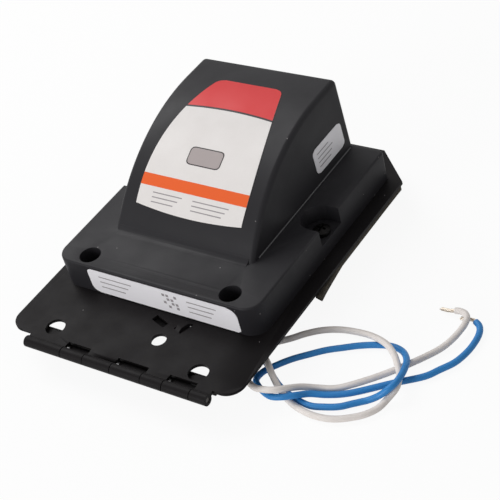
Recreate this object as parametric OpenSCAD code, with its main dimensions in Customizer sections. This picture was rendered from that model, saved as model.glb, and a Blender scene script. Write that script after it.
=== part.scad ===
// Burner ignition transformer: a potted black housing screwed to a hinged base plate,
// with two supply leads from its front and two sprung high-voltage contacts underneath.
// X runs across the plate, Y from the hinge to the back, Z up. The origin is on the surface
// that the housing's tub stands on, under the middle of the plate and its hinge.

/* [Base plate] */
// Width of the plate, side to side
plate_w = 127; // [126:1:132]
// Length of the plate, front edge to back edge
plate_l = 166; // [165:1:174]
// Thickness of the plate's sheet steel
plate_t = 1.5; // [1:0.1:2]
// Radius of the plate's two front corners
plate_corner_r = 8; // [3:0.5:9]
// Width of the cut corners at the back, measured across the plate
chamfer_x = 20; // [14:1:24]
// Length of the cut corners at the back, measured along the plate
chamfer_y = 19; // [12:1:20]
// Diameter of the two clearance holes at the front corners
clear_hole_d = 9.5; // [8:0.1:10]
// Distance of the clearance holes from the plate's middle line
clear_hole_x = 40.3; // [38:0.1:44]
// Distance of the clearance holes from the front edge
clear_hole_y = 6.8; // [6.2:0.1:8]
// Diameter of the single hole in front of the housing
key_hole_d = 7.2; // [5:0.1:8]
// Distance of the single hole right of the middle line
key_hole_x = 11.7; // [0:0.1:20]
// Distance of the single hole from the front edge
key_hole_y = 17; // [14:0.1:18]
// Side clearance between the plate's window and the tub
window_gap = 0.4; // [0.3:0.1:0.8]

/* [Hinge] */
// Outer diameter of the rolled knuckles
barrel_d = 5.3; // [4.9:0.1:5.6]
// Diameter of the hinge pin
pin_d = 2.4; // [2:0.1:2.6]
// Radial running clearance of the pin in the knuckles
pin_gap = 0.05; // [0.03:0.01:0.08]
// Distance of the hinge axis in front of the plate's front edge
hinge_out = 4.2; // [4:0.1:5]
// Left end of the hinge
hinge_left = -49; // [-52:0.5:-47]
// Right end of the hinge
hinge_right = 52.5; // [51:0.5:54]
// Side gap between neighbouring knuckles
knuckle_gap = 0.3; // [0.2:0.05:0.5]
// Height of the leaf's underside above the knuckles' lowest line
leaf_lift = 0.2; // [0.1:0.05:0.4]
// Depth of the notches in the plate behind the leaf's knuckles
notch_depth = 1.25; // [0.8:0.05:2]
// Thickness of the leaf's sheet steel
leaf_t = 1.5; // [1.2:0.1:1.6]
// Reach of the leaf behind the plate's front edge
leaf_reach = 8; // [7:0.1:9]
// Diameter of the leaf's screw holes
leaf_hole_d = 4.2; // [3.5:0.1:4.5]
// Distance of the leaf's screw holes from the middle line
leaf_hole_x = 23; // [18:0.5:26]

/* [Housing] */
// Width of plate seen at each side of the flange
side_margin = 7.7; // [5.5:0.1:8.5]
// Distance of the flange's front face from the plate's back edge
flange_reach = 133; // [132:0.5:135]
// Length of plate seen behind the housing
back_margin = 17.6; // [15:0.1:18.5]
// Height of the flange above the plate
flange_h = 15.8; // [14.5:0.1:17]
// Radius of the flange's front corners
flange_corner_r = 8; // [5:0.5:9]
// Radius of the flange's back corners
flange_back_r = 2.5; // [2:0.1:4]
// Radius along the flange's top edge
flange_edge_r = 1; // [0.6:0.1:1.6]
// Wall of the flange and of the hump
wall = 2.8; // [2.4:0.1:3]
// Width of the hump where it leaves the flange
hump_w = 78; // [77:0.5:81]
// Height of the hump's top above the plate
hump_h = 53.2; // [51:0.1:56]
// Amount by which each side of the hump leans in over its height
hump_lean = 1.5; // [0.8:0.1:2]
// Length of the flat on top of the hump
hump_flat = 16.4; // [14:0.1:18]
// Radius of the hump's curved front
front_r = 90; // [84:0.5:96]
// Radius along the hump's edges
hump_edge_r = 2.5; // [1.5:0.1:3]
// Radius of the hollow fillet at the foot of the curved front
foot_r = 6; // [4:0.5:8]

/* [Tub under the plate] */
// Width of the tub
tub_w = 74.6; // [73:0.2:75.4]
// Distance of the tub's front wall from the plate's back edge
tub_reach = 106; // [104.5:0.5:107]
// Distance of the tub's back wall in front of the housing's back face
tub_back_inset = 2.5; // [2:0.1:3.9]
// Depth of the tub below the plate's top face
tub_depth = 15; // [14.5:0.1:18]
// Wall of the tub
tub_wall = 2.5; // [2:0.1:2.8]
// Radius of the tub's upright corners
tub_corner_r = 3; // [2:0.5:4]
// Depth of the potting compound's face below the plate's top face
pour_depth = 8; // [7.6:0.1:8.4]

/* [Screws] */
// Diameter of the screw shank
screw_d = 4; // [3.5:0.1:4.5]
// Diameter of the screw head
head_d = 8; // [7:0.1:8.4]
// Height of the screw head
head_h = 3; // [2.4:0.1:3.4]
// Diameter of the two front counterbores
counterbore_d = 10.3; // [9.6:0.1:11]
// Height of the seats under the screw heads
seat_h = 7; // [5:0.1:8]
// Distance of the front screws from the flange's sides
front_screw_side = 16.4; // [14.8:0.1:18.8]
// Distance of the front screws behind the flange's front face
front_screw_inset = 6.8; // [6.4:0.1:9]
// Radius of the round pockets in the flange's sides
pocket_r = 8.6; // [8:0.1:9]
// Distance of the side screws from the flange's sides
side_screw_side = 5.2; // [4.6:0.1:5.8]
// Distance of the side screws from the plate's back edge
side_screw_reach = 69.8; // [66:0.1:74]
// Length of screw below the plate
screw_out = 2.5; // [1:0.1:4]

/* [Inner parts] */
// Thickness of the circuit board
board_t = 1.6; // [1.2:0.1:2]
// Width of the circuit board
board_w = 62; // [60:1:66]
// Length of the circuit board
board_l = 72; // [71:1:75]
// Length of the ferrite core across the housing
core_l = 56; // [54:1:60]
// Width of the ferrite core
core_w = 44; // [43.6:0.2:46]
// Height of the ferrite core's outer legs
core_h = 18; // [14:1:20]
// Diameter of the core's round centre leg
core_leg_d = 14; // [12:0.5:14.5]
// Width of the core's yokes at its two ends
core_yoke = 8; // [6:0.5:9]
// Diameter of the bobbin's flanges
bobbin_d = 33; // [32:0.5:33.4]
// Number of chambers along the bobbin
chambers = 6; // [6:2:8]
// Thickness of the bobbin's walls
bobbin_wall = 1; // [0.8:0.1:1.2]
// Depth of the windings' outside below the bobbin's flanges
winding_inset = 2; // [1.2:0.1:4.4]
// Diameter of the filter capacitor
capacitor_d = 16; // [14:0.5:17]
// Height of the filter capacitor
capacitor_h = 18; // [15:0.5:19]

/* [Terminals] */
// Distance of each high-voltage terminal from the middle line
terminal_x = 18; // [16:0.5:22]
// Distance of the terminals behind the tub's front wall
terminal_setback = 40; // [38:0.5:46]
// Diameter of the insulator below the potting compound
insulator_d = 13; // [11:0.5:15]
// Amount by which the insulator stands out of the compound
insulator_out = 1.5; // [1:0.1:2]
// Diameter of the terminal stud
stud_d = 3; // [2.5:0.1:4]
// Diameter of the contact spring's wide end
spring_d = 8.6; // [8:0.2:10]
// Diameter of the contact spring's tip
spring_tip_d = 4; // [3:0.2:5]
// Height of the contact spring
spring_h = 4.7; // [4:0.1:5]
// Diameter of the spring's wire
spring_wire_d = 0.9; // [0.7:0.05:1]
// Number of turns of the contact spring
spring_turns = 3; // [2.5:0.5:3.5]

/* [Sealing strips] */
// Thickness of the foam strips under the plate
foam_t = 3; // [2:0.5:4]
// Width of the foam strips
foam_w = 7; // [5:0.5:8]
// Inset of the strips from the plate's edges
foam_inset = 0.6; // [0.3:0.1:1.5]
// Amount by which a side strip's loose front end stands out of the plate's edge
foam_stray = 1.7; // [1:0.1:2.5]
// Distance of the side strips' front ends from the plate's back edge
foam_reach = 99; // [94:1:102]

/* [Labels] */
// Thickness of the three stuck-on labels
label_t = 0.2; // [0.1:0.05:0.4]
// Length of the front label along the curved front
front_label_l = 70.5; // [68:0.5:71]
// Width of the front label at its foot
front_label_w = 59.2; // [56:0.2:60]
// Distance of the strip label's left end from the flange's left side
strip_left_side = 18.8; // [15.8:0.5:21.8]
// Distance of the strip label's right end from the flange's right side
strip_right_side = 9.8; // [8.8:0.5:11.8]
// Height of the strip label
strip_h = 13.6; // [12:0.1:14]
// Length of the side label
side_label_l = 25; // [22:0.5:28]
// Height of the side label
side_label_h = 13; // [11:0.5:14]

/* [Leads] */
// Outer diameter of each lead
lead_d = 2.9; // [2.4:0.1:3.1]
// Distance of the blue lead's exit right of the middle line
blue_exit_x = 20; // [19.5:0.1:20.5]
// Distance between the two leads where they leave the tub
lead_pitch = 6; // [5:0.1:6.5]
// Depth of the leads' exit below the plate's top face
lead_depth = 5.4; // [5:0.1:6]
// Diameter of the bared strands at the leads' ends
strand_d = 1.7; // [1.2:0.1:2]

/* [Hidden] */
$fn = 96;

// A hair that keeps cutting shapes from ending on the surface they cut
cut = 0.5;
// Gap between the cast compound and whatever it was poured round
cast_gap = 0.05;

// The hinge
barrel_r = barrel_d / 2;
leaf_z = -plate_t - barrel_r + leaf_lift;
pin_r = pin_d / 2;
knuckle_bore_r = pin_r + pin_gap;
hinge_y = -hinge_out;
hinge_z = -plate_t;
hinge_l = hinge_right - hinge_left;
pin_inset = 0.4;
// Where one knuckle ends and the next begins, as shares of the hinge's length
knuckle_ends = [0, 0.212, 0.34, 0.493, 0.66, 0.773, 0.916, 1];
function knuckle_x(i) = hinge_left + hinge_l * knuckle_ends[i];
plate_knuckles = [0, 2, 4, 6];
leaf_knuckles = [1, 3, 5];

// Everything is modelled from the plate's front edge and top face, then moved to the origin
mid_y = (plate_l + hinge_y - barrel_r) / 2;
module place() {
    translate([0, -mid_y, tub_depth]) children();
}

// The housing
flange_w = plate_w - 2 * side_margin;
flange_hw = flange_w / 2;
flange_front = plate_l - flange_reach;
housing_back = plate_l - back_margin;
tub_front = plate_l - tub_reach;
tub_back = housing_back - tub_back_inset;
hump_hw = hump_w / 2;
arc_y = housing_back - hump_flat;
arc_z = hump_h - front_r;
lean_angle = atan(hump_lean / (hump_h - flange_h));
function hump_hw_at(z) = hump_hw - (z - flange_h) * tan(lean_angle);
// The foot of the curved front, where its fillet meets the flange's top
foot_y = arc_y - sqrt(pow(front_r + foot_r, 2) - pow(flange_h + foot_r - arc_z, 2));
tub_hw = tub_w / 2;
cavity_hw = tub_hw - tub_wall;
cavity_front = tub_front + tub_wall;
cavity_back = tub_back - tub_wall;
cavity_r = front_r - wall;
cavity_top = hump_h - wall;
front_seat_r = counterbore_d / 2;
screw_r = screw_d / 2;
screw_hole_gap = 0.3;
thread_gap = 0.05;
front_screw_x = flange_hw - front_screw_side;
front_screw_y = flange_front + front_screw_inset;
side_screw_x = flange_hw - side_screw_side;
side_screw_y = plate_l - side_screw_reach;
recess_l = 4.8;
recess_w = 1.1;
front_boss_wall = 2.5;
hollow_corner_r = 1;
// How far the tub, the hump and the fillet reach into what carries them
tub_root = 1;
hump_root = 4;
hump_back_root = 6;
fillet_root = 1;
screw_places = [
    [-front_screw_x, front_screw_y], [front_screw_x, front_screw_y],
    [-side_screw_x, side_screw_y], [side_screw_x, side_screw_y]];

// The board and what stands on it
board_z = -1;
board_top = board_z + board_t;
board_front_gap = 3.5;
board_front = cavity_front + board_front_gap;
board_rim = 3;
board_hole_inset = 4;
board_hole_r = 1.6;
core_setback = 48;
core_y = board_front + core_setback;
bobbin_r = bobbin_d / 2;
bobbin_foot = 0.9;
bobbin_foot_w = 4;
bobbin_foot_l = 12;
bobbin_foot_grip = 2.2;
bobbin_play = 0.2;
window_play = 0.4;
core_leg_inset = 1;
core_z = board_top + bobbin_foot + bobbin_r;
leg_r = core_leg_d / 2;
leg_gap = 0.1;
tube_r = leg_r + leg_gap + bobbin_wall;
bobbin_l = core_l - 2 * core_yoke - 2 * bobbin_play;
bobbin_window = bobbin_r + window_play;
chamber_l = (bobbin_l - bobbin_wall) / chambers;
winding_r = bobbin_r - winding_inset;
capacitor_r = capacitor_d / 2;
capacitor_x = -board_w / 2 + capacitor_r + board_rim;
capacitor_y = board_front + capacitor_r + board_rim;
groove_z = 2.4;
groove_r = 0.6;
film_x = 6;
film_l = 20;
film_w = 9;
film_h = 15;
film_setback = 3.5;
film_y = board_front + film_setback;
sink_l = 40;
sink_t = 2;
sink_h = 22;
sink_x = -10;
sink_clear = 1.5;
fin_depth = 6;
fin_t = 1.2;
fin_count = 7;
sink_y = core_y - core_w / 2 - fin_depth - sink_t - sink_clear;
transistor_w = 10;
transistor_t = 4.4;
transistor_h = 15;
transistor_x = -7;
transistor_pitch = 2.5;
transistor_lift = 3;
leg_t = 0.8;

// The terminals
terminal_y = tub_front + terminal_setback;
insulator_r = insulator_d / 2;
insulator_collar = 1.5;
insulator_collar_h = 2;
insulator_buried = 4;
insulator_top = -pour_depth + insulator_buried;
insulator_foot = -pour_depth - insulator_out;
stud_r = stud_d / 2;
stud_head_rim = 1.4;
stud_head_r = stud_r + stud_head_rim;
stud_head_h = 1;
spring_wire_r = spring_wire_d / 2;

// The leads and their bush
lead_r = lead_d / 2;
lead_gap = 0.1;
bush_wall = 1.5;
bush_r = lead_r + bush_wall;
bush_lip = 0.8;
bush_lip_t = 1.2;
bush_grip = 0.02;
white_exit_x = blue_exit_x + lead_pitch;
lead_inside = 2;
lead_inner_y = cavity_front + lead_inside;
lead_straight = 4;
tip_gap = 0.25;
tube_sides = 8;

module knuckle(i, strap_z, strap_t, strap_end) {
    // One rolled knuckle of the hinge with its bore and the strap it is rolled from
    translate([knuckle_x(i) + knuckle_gap / 2, hinge_y, hinge_z])
        rotate([90, 0, 90])
            linear_extrude(knuckle_x(i + 1) - knuckle_x(i) - knuckle_gap)
                difference() {
                    union() {
                        circle(barrel_r);
                        translate([0, strap_z - hinge_z]) square([strap_end - hinge_y, strap_t]);
                    }
                    circle(knuckle_bore_r);
                }
}

module rounded_outline(half_w, front, back, front_r, back_r) {
    // A rectangle about the middle line with its own radii at the front and back corners
    difference() {
        translate([-half_w, front]) square([2 * half_w, back - front]);
        for (side = [-1, 1]) {
            corner_cut(side, half_w, front, 1, front_r);
            corner_cut(side, half_w, back, -1, back_r);
        }
    }
}

module corner_cut(side, half_w, y, inward, r) {
    // What a corner radius removes from a square corner
    translate([side * half_w, y])
        difference() {
            translate([side > 0 ? -r : -cut, inward > 0 ? -cut : -r]) square(r + cut);
            translate([-side * r, inward * r]) circle(r);
        }
}

module plate_outline() {
    difference() {
        rounded_outline(plate_w / 2, 0, plate_l, plate_corner_r, 0.5);
        for (side = [-1, 1])
            translate([side * plate_w / 2, plate_l])
                polygon([[cut * side, cut], [-side * chamfer_x, cut], [-side * chamfer_x, 0],
                    [0, -chamfer_y], [cut * side, -chamfer_y]]);
    }
}

// The lanced strap and slot in front of the housing
strap_place = [17.8, 27.8];
strap_turn = -21;
strap_size = [3, 7.4];
strap_rise = 1.3;
strap_slit = 1.1;
slot_place = [5.4, 26.9];
slot_turn = -19;
slot_size = [8.6, 3.4];

module stamped_openings() {
    translate(slot_place) rotate(slot_turn)
        square(slot_size, center = true);
    translate(strap_place) rotate(strap_turn)
        square([strap_size[0] + 2 * strap_slit, strap_size[1]], center = true);
}

module lanced_strap() {
    // The strap that stays between the two slits, pressed up into a low bridge
    translate([strap_place[0], strap_place[1], 0]) rotate(strap_turn)
        rotate([90, 0, 90]) translate([0, 0, -strap_size[0] / 2])
            linear_extrude(strap_size[0])
                polygon([[-strap_size[1] / 2, -plate_t], [-strap_size[1] / 2, 0],
                    [-strap_size[1] / 4, strap_rise], [strap_size[1] / 4, strap_rise],
                    [strap_size[1] / 2, 0], [strap_size[1] / 2, -plate_t],
                    [strap_size[1] / 4 - plate_t / 3, strap_rise - plate_t],
                    [-strap_size[1] / 4 + plate_t / 3, strap_rise - plate_t]]);
}

module mounting_plate() {
    color("#3a3738") place() {
        translate([0, 0, -plate_t]) linear_extrude(plate_t) difference() {
            plate_outline();
            for (side = [-1, 1])
                translate([side * clear_hole_x, clear_hole_y]) circle(clear_hole_d / 2);
            translate([key_hole_x, key_hole_y]) circle(key_hole_d / 2);
            translate([-tub_hw - window_gap, tub_front - window_gap])
                square([tub_w + 2 * window_gap, tub_back - tub_front + 2 * window_gap]);
            stamped_openings();
            for (i = leaf_knuckles)
                translate([knuckle_x(i), -cut])
                    square([knuckle_x(i + 1) - knuckle_x(i), notch_depth + cut]);
            for (p = screw_places) translate(p) circle(screw_r + thread_gap);
        }
        for (i = plate_knuckles) knuckle(i, -plate_t, plate_t, cut);
        lanced_strap();
    }
}

module hinge_leaf() {
    // The moving leaf, folded flat under the plate, with its own rolled knuckles
    color("#403d3e") place() {
        difference() {
            union() {
                for (i = leaf_knuckles) knuckle(i, leaf_z, leaf_t, notch_depth);
                translate([hinge_left, notch_depth - cut, leaf_z])
                    cube([hinge_l, leaf_reach - notch_depth + cut, leaf_t]);
            }
            for (side = [-1, 1])
                translate([side * leaf_hole_x, (leaf_reach + notch_depth) / 2, leaf_z - cut])
                    cylinder(h = leaf_t + 2 * cut, d = leaf_hole_d);
        }
    }
}

module hinge_pin() {
    color("#6f6d6c") place()
        translate([hinge_left + pin_inset, hinge_y, hinge_z]) rotate([0, 90, 0])
            cylinder(h = hinge_l - 2 * pin_inset, r = pin_r);
}

module flange_block() {
    // The low flange, rounded along its top edge and down its corners
    hull() {
        for (side = [-1, 1]) {
            flange_post(side * (flange_hw - flange_corner_r), flange_front + flange_corner_r,
                flange_corner_r);
            flange_post(side * (flange_hw - flange_back_r), housing_back - flange_back_r,
                flange_back_r);
        }
    }
}

module flange_post(x, y, r) {
    translate([x, y, 0]) rotate_extrude($fn = 48) {
        square([r - flange_edge_r, flange_h]);
        square([r, flange_h - flange_edge_r]);
        translate([r - flange_edge_r, flange_h - flange_edge_r]) circle(flange_edge_r, $fn = 24);
    }
}

// Angle round the curved front at which it has reached the flange
front_sweep = acos((flange_h - hump_root - arc_z) / front_r);
front_steps = 24;

module hump_form() {
    // The curved hump with rounded edges: a ball rolled round both side profiles
    ball_r = front_r - hump_edge_r;
    hull()
        for (side = [-1, 1]) {
            for (i = [0 : front_steps])
                let (a = front_sweep * i / front_steps, z = arc_z + ball_r * cos(a))
                    translate([side * (hump_hw_at(z) - hump_edge_r), arc_y - ball_r * sin(a), z])
                        sphere(hump_edge_r, $fn = 32);
            for (z = [hump_h - hump_edge_r, flange_h - hump_back_root])
                translate([side * (hump_hw_at(z) - hump_edge_r), housing_back - hump_edge_r, z])
                    sphere(hump_edge_r, $fn = 32);
        }
}

// Reach and rise of the foot's hollow fillet, as shares of its radius
fillet_reach = 0.8;
fillet_rise = 0.4;

module foot_fillet() {
    // The hollow fillet between the flange's top and the curved front
    half_l = hump_hw - hump_edge_r;
    translate([-half_l, 0, 0]) rotate([90, 0, 90]) linear_extrude(2 * half_l)
        difference() {
            translate([foot_y, flange_h - fillet_root])
                square([foot_r * fillet_reach, foot_r * fillet_rise + fillet_root]);
            translate([foot_y, flange_h + foot_r]) circle(foot_r);
        }
}

module cavity_profile(shrink, floor_z) {
    // The side view of the space inside, from its floor up to the curved roof
    intersection() {
        translate([cavity_front + shrink, floor_z])
            square([cavity_back - cavity_front - 2 * shrink, cavity_top - shrink - floor_z]);
        union() {
            translate([arc_y, arc_z]) circle(cavity_r - shrink, $fn = 180);
            translate([arc_y, floor_z]) square([hump_flat, cavity_top - floor_z]);
        }
    }
}

module cavity(shrink, floor_z) {
    half_l = cavity_hw - shrink;
    translate([-half_l, 0, 0]) rotate([90, 0, 90])
        linear_extrude(2 * half_l) cavity_profile(shrink, floor_z);
}

module flange_hollow() {
    // The hollow under the flange, round the tub's wall and the screw bosses
    difference() {
        translate([0, 0, -cut]) linear_extrude(flange_h - wall + cut)
            rounded_outline(flange_hw - wall, flange_front + wall, housing_back - wall,
                flange_corner_r - wall, hollow_corner_r);
        translate([-tub_hw, tub_front, -2 * cut])
            cube([tub_w, housing_back - tub_front, flange_h + cut]);
        for (side = [-1, 1]) {
            translate([side * front_screw_x, front_screw_y, -2 * cut])
                cylinder(h = flange_h, r = front_seat_r + front_boss_wall);
            translate([side * side_screw_x, side_screw_y, -2 * cut])
                cylinder(h = flange_h, r = pocket_r + wall);
        }
    }
}

module bush_outline(r) {
    // The long round outline of the bush that carries both leads
    for (x = [blue_exit_x, white_exit_x]) translate([x, -lead_depth]) circle(r);
    translate([blue_exit_x, -lead_depth - r]) square([lead_pitch, 2 * r]);
}

module housing() {
    color("#39393a") place() {
        difference() {
            union() {
                flange_block();
                hump_form();
                foot_fillet();
                translate([0, 0, -tub_depth]) linear_extrude(tub_depth + tub_root)
                    rounded_outline(tub_hw, tub_front, tub_back, tub_corner_r, tub_corner_r);
            }
            cavity(0, -tub_depth - cut);
            flange_hollow();
            for (side = [-1, 1]) {
                translate([side * front_screw_x, front_screw_y, seat_h])
                    cylinder(h = flange_h, r = front_seat_r);
                translate([side * side_screw_x, side_screw_y, seat_h])
                    cylinder(h = flange_h, r = pocket_r);
                translate([side * (side_screw_x + pocket_r) - (pocket_r),
                    side_screw_y - pocket_r, seat_h])
                    cube([2 * pocket_r, 2 * pocket_r, flange_h]);
            }
            for (p = screw_places)
                translate([p[0], p[1], -cut]) cylinder(h = flange_h, r = screw_r + screw_hole_gap);
            translate([0, cavity_front + cut, 0]) rotate([90, 0, 0])
                linear_extrude(tub_wall + 2 * cut) bush_outline(bush_r + bush_grip);
        }
    }
}

module board_form(grow) {
    translate([-board_w / 2 - grow, board_front - grow, board_z - grow])
        cube([board_w + 2 * grow, board_l + 2 * grow, board_t + 2 * grow]);
}

module core_envelope(grow) {
    translate([-core_l / 2 - grow, core_y - core_w / 2 - grow, core_z - core_h / 2 - grow])
        cube([core_l + 2 * grow, core_w + 2 * grow, core_h + 2 * grow]);
}

module bobbin_envelope(grow) {
    translate([-bobbin_l / 2 - grow, core_y, core_z]) rotate([0, 90, 0])
        cylinder(h = bobbin_l + 2 * grow, r = bobbin_r + grow);
    bobbin_feet(grow);
}

module bobbin_feet(grow) {
    for (side = [-1, 1])
        translate([side * (bobbin_l - bobbin_wall) / 2 - bobbin_foot_w / 2 - grow,
            core_y - bobbin_foot_l / 2 - grow, board_top - grow])
            cube([bobbin_foot_w + 2 * grow, bobbin_foot_l + 2 * grow,
                bobbin_foot + bobbin_foot_grip + 2 * grow]);
}

module insulator_form(side, grow) {
    translate([side * terminal_x, terminal_y, 0]) {
        translate([0, 0, insulator_foot - grow])
            cylinder(h = insulator_top - insulator_foot + 2 * grow, r = insulator_r + grow);
        translate([0, 0, insulator_top - insulator_collar_h - grow])
            cylinder(h = insulator_collar_h + 2 * grow, r = insulator_r + insulator_collar + grow);
    }
}

module transistor_form(grow) {
    translate([transistor_x - grow, sink_y - transistor_t - grow,
        board_top + transistor_lift - grow])
        cube([transistor_w + 2 * grow, transistor_t + grow, transistor_h + 2 * grow]);
    for (i = [-1, 0, 1])
        translate([transistor_x + transistor_w / 2 + i * transistor_pitch - leg_t / 2 - grow,
            sink_y - transistor_t / 2 - leg_t / 2 - grow, board_top - grow])
            cube([leg_t + 2 * grow, leg_t + 2 * grow, transistor_lift + 2 * grow]);
}

module potting_compound() {
    // The compound poured round everything inside, with its flat face up in the tub
    color("#17171a") place() {
        difference() {
            cavity(cast_gap, -pour_depth);
            board_form(cast_gap);
            core_envelope(cast_gap);
            bobbin_envelope(cast_gap);
            translate([capacitor_x, capacitor_y, board_top - cast_gap])
                cylinder(h = capacitor_h + 2 * cast_gap, r = capacitor_r + cast_gap);
            translate([film_x - cast_gap, film_y - cast_gap, board_top - cast_gap])
                cube([film_l + 2 * cast_gap, film_w + 2 * cast_gap, film_h + 2 * cast_gap]);
            translate([sink_x - cast_gap, sink_y - cast_gap, board_top - cast_gap])
                cube([sink_l + 2 * cast_gap, sink_t + fin_depth + 2 * cast_gap,
                    sink_h + 2 * cast_gap]);
            transistor_form(cast_gap);
            for (side = [-1, 1]) {
                insulator_form(side, cast_gap);
                translate([side * terminal_x, terminal_y, insulator_top - cut])
                    cylinder(h = board_z - insulator_top + 2 * cut, r = stud_r + cast_gap);
            }
            for (x = [blue_exit_x, white_exit_x])
                translate([x, lead_inner_y + cast_gap, -lead_depth]) rotate([90, 0, 0])
                    cylinder(h = lead_inside + cut, r = lead_r + lead_gap);
        }
    }
}

module circuit_board() {
    color("#3f6b3a") place() difference() {
        board_form(0);
        for (side = [-1, 1],
            y = [board_front + board_hole_inset, board_front + board_l - board_hole_inset])
            translate([side * (board_w / 2 - board_hole_inset), y, board_z - cut])
                cylinder(h = board_t + 2 * cut, r = board_hole_r);
    }
}

module ferrite_core() {
    // Two E-shaped halves closed on each other, with a round centre leg
    color("#2e2d2f") place() {
        difference() {
            core_envelope(0);
            translate([-bobbin_l / 2 - bobbin_play, core_y - bobbin_window, core_z - core_h])
                cube([bobbin_l + 2 * bobbin_play, 2 * bobbin_window, 2 * core_h]);
        }
        translate([-core_l / 2 + core_leg_inset, core_y, core_z]) rotate([0, 90, 0])
            cylinder(h = core_l - 2 * core_leg_inset, r = leg_r);
    }
}

module winding_bobbin() {
    color("#cfc6ae") place() {
        difference() {
            union() {
                translate([-bobbin_l / 2, core_y, core_z]) rotate([0, 90, 0])
                    cylinder(h = bobbin_l, r = tube_r);
                for (i = [0 : chambers])
                    translate([-bobbin_l / 2 + i * chamber_l, core_y, core_z]) rotate([0, 90, 0])
                        cylinder(h = bobbin_wall, r = bobbin_r);
                intersection() {
                    bobbin_feet(0);
                    translate([-bobbin_l / 2, core_y - bobbin_foot_l, board_top])
                        cube([bobbin_l, 2 * bobbin_foot_l, bobbin_r]);
                }
            }
            translate([-bobbin_l / 2 - cut, core_y, core_z]) rotate([0, 90, 0])
                cylinder(h = bobbin_l + 2 * cut, r = leg_r + leg_gap);
        }
    }
}

module windings(first, last) {
    // The wire in a run of chambers, one ring to a chamber
    for (i = [first : last])
        translate([-bobbin_l / 2 + i * chamber_l + bobbin_wall, core_y, core_z]) rotate([0, 90, 0])
            difference() {
                cylinder(h = chamber_l - bobbin_wall, r = winding_r);
                translate([0, 0, -cut]) cylinder(h = chamber_l + 2 * cut, r = tube_r);
            }
}

module primary_winding() {
    color("#b06a3a") place() windings(chambers / 2 - 1, chambers / 2);
}

module secondary_winding_left() {
    color("#a4552c") place() windings(0, chambers / 2 - 2);
}

module secondary_winding_right() {
    color("#a4552c") place() windings(chambers / 2 + 1, chambers - 1);
}

module filter_capacitor() {
    // An aluminium can with the rolled groove near its foot
    color("#20242c") place() translate([capacitor_x, capacitor_y, board_top])
        difference() {
            cylinder(h = capacitor_h, r = capacitor_r);
            translate([0, 0, groove_z]) rotate_extrude() translate([capacitor_r, 0])
                circle(groove_r, $fn = 24);
        }
}

module film_capacitor() {
    color("#b5342c") place() translate([film_x, film_y, board_top]) cube([film_l, film_w, film_h]);
}

module heat_sink() {
    // A short length of finned extrusion stood on the board
    color("#b9bcc0") place() translate([sink_x, sink_y, board_top]) {
        cube([sink_l, sink_t, sink_h]);
        for (i = [0 : fin_count - 1])
            translate([i * (sink_l - fin_t) / (fin_count - 1), 0, 0])
                cube([fin_t, sink_t + fin_depth, sink_h]);
    }
}

module switching_transistor() {
    color("#232326") place() transistor_form(0);
}

module terminal_insulator(side) {
    color("#e7e1d2") place() difference() {
        insulator_form(side, 0);
        translate([side * terminal_x, terminal_y, insulator_foot - cut])
            cylinder(h = insulator_top - insulator_foot + 2 * cut, r = stud_r + cast_gap);
    }
}

module terminal_insulator_left() {
    terminal_insulator(-1);
}

module terminal_insulator_right() {
    terminal_insulator(1);
}

module terminal_stud(side) {
    color("#c9a24a") place() translate([side * terminal_x, terminal_y, 0]) {
        translate([0, 0, insulator_foot - stud_head_h])
            cylinder(h = board_z - insulator_foot + stud_head_h, r = stud_r);
        translate([0, 0, insulator_foot - stud_head_h]) cylinder(h = stud_head_h, r = stud_head_r);
    }
}

module terminal_stud_left() {
    terminal_stud(-1);
}

module terminal_stud_right() {
    terminal_stud(1);
}

// Vector helpers for the swept tubes
function unit(v) = v / norm(v);
function heading(pts, i) = unit(pts[min(i + 1, len(pts) - 1)] - pts[max(i - 1, 0)]);
function turned(v, from, to) = let (w = from + to) v - 2 * (v * w) / (w * w) * w
    + 2 * (v * from) * to;
function frames(pts, start) = [for (i = 0, v = start; i < len(pts);
    i = i + 1, v = i < len(pts) ? turned(v, heading(pts, i - 1), heading(pts, i)) : v) v];

module tube(pts, r, start) {
    // A round tube through a list of points, closed flat at both ends
    n = len(pts);
    sides = tube_sides;
    side_dirs = frames(pts, start);
    rings = [for (i = [0 : n - 1])
        let (u = side_dirs[i], t = heading(pts, i), v = cross(t, u))
            for (k = [0 : sides - 1])
                pts[i] + r * (cos(360 * k / sides) * u + sin(360 * k / sides) * v)];
    walls = [for (i = [0 : n - 2], k = [0 : sides - 1])
        let (a = i * sides + k, b = i * sides + (k + 1) % sides)
            each [[a, a + sides, b], [b, a + sides, b + sides]]];
    polyhedron(rings, concat([[for (k = [0 : sides - 1]) k]], walls,
        [[for (k = [sides - 1 : -1 : 0]) (n - 1) * sides + k]]));
}

spring_steps = 14;

module contact_spring(side) {
    // A conical coil that stands on the insulator's foot and tapers to its tip
    steps = spring_steps * spring_turns;
    top_z = insulator_foot - spring_wire_r;
    drop = spring_h - spring_wire_d;
    base_r = spring_d / 2 - spring_wire_r;
    tip_r = spring_tip_d / 2 - spring_wire_r;
    pts = [for (i = [0 : steps]) let (f = i / steps, a = side * 360 * spring_turns * f,
        q = base_r + (tip_r - base_r) * f)
            [side * terminal_x + q * cos(a), terminal_y + q * sin(a), top_z - drop * f]];
    color("#b7b2a6") place()
        tube(pts, spring_wire_r, [0, 0, 1] - ([0, 0, 1] * heading(pts, 0)) * heading(pts, 0));
}

module contact_spring_left() {
    contact_spring(-1);
}

module contact_spring_right() {
    contact_spring(1);
}

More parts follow.
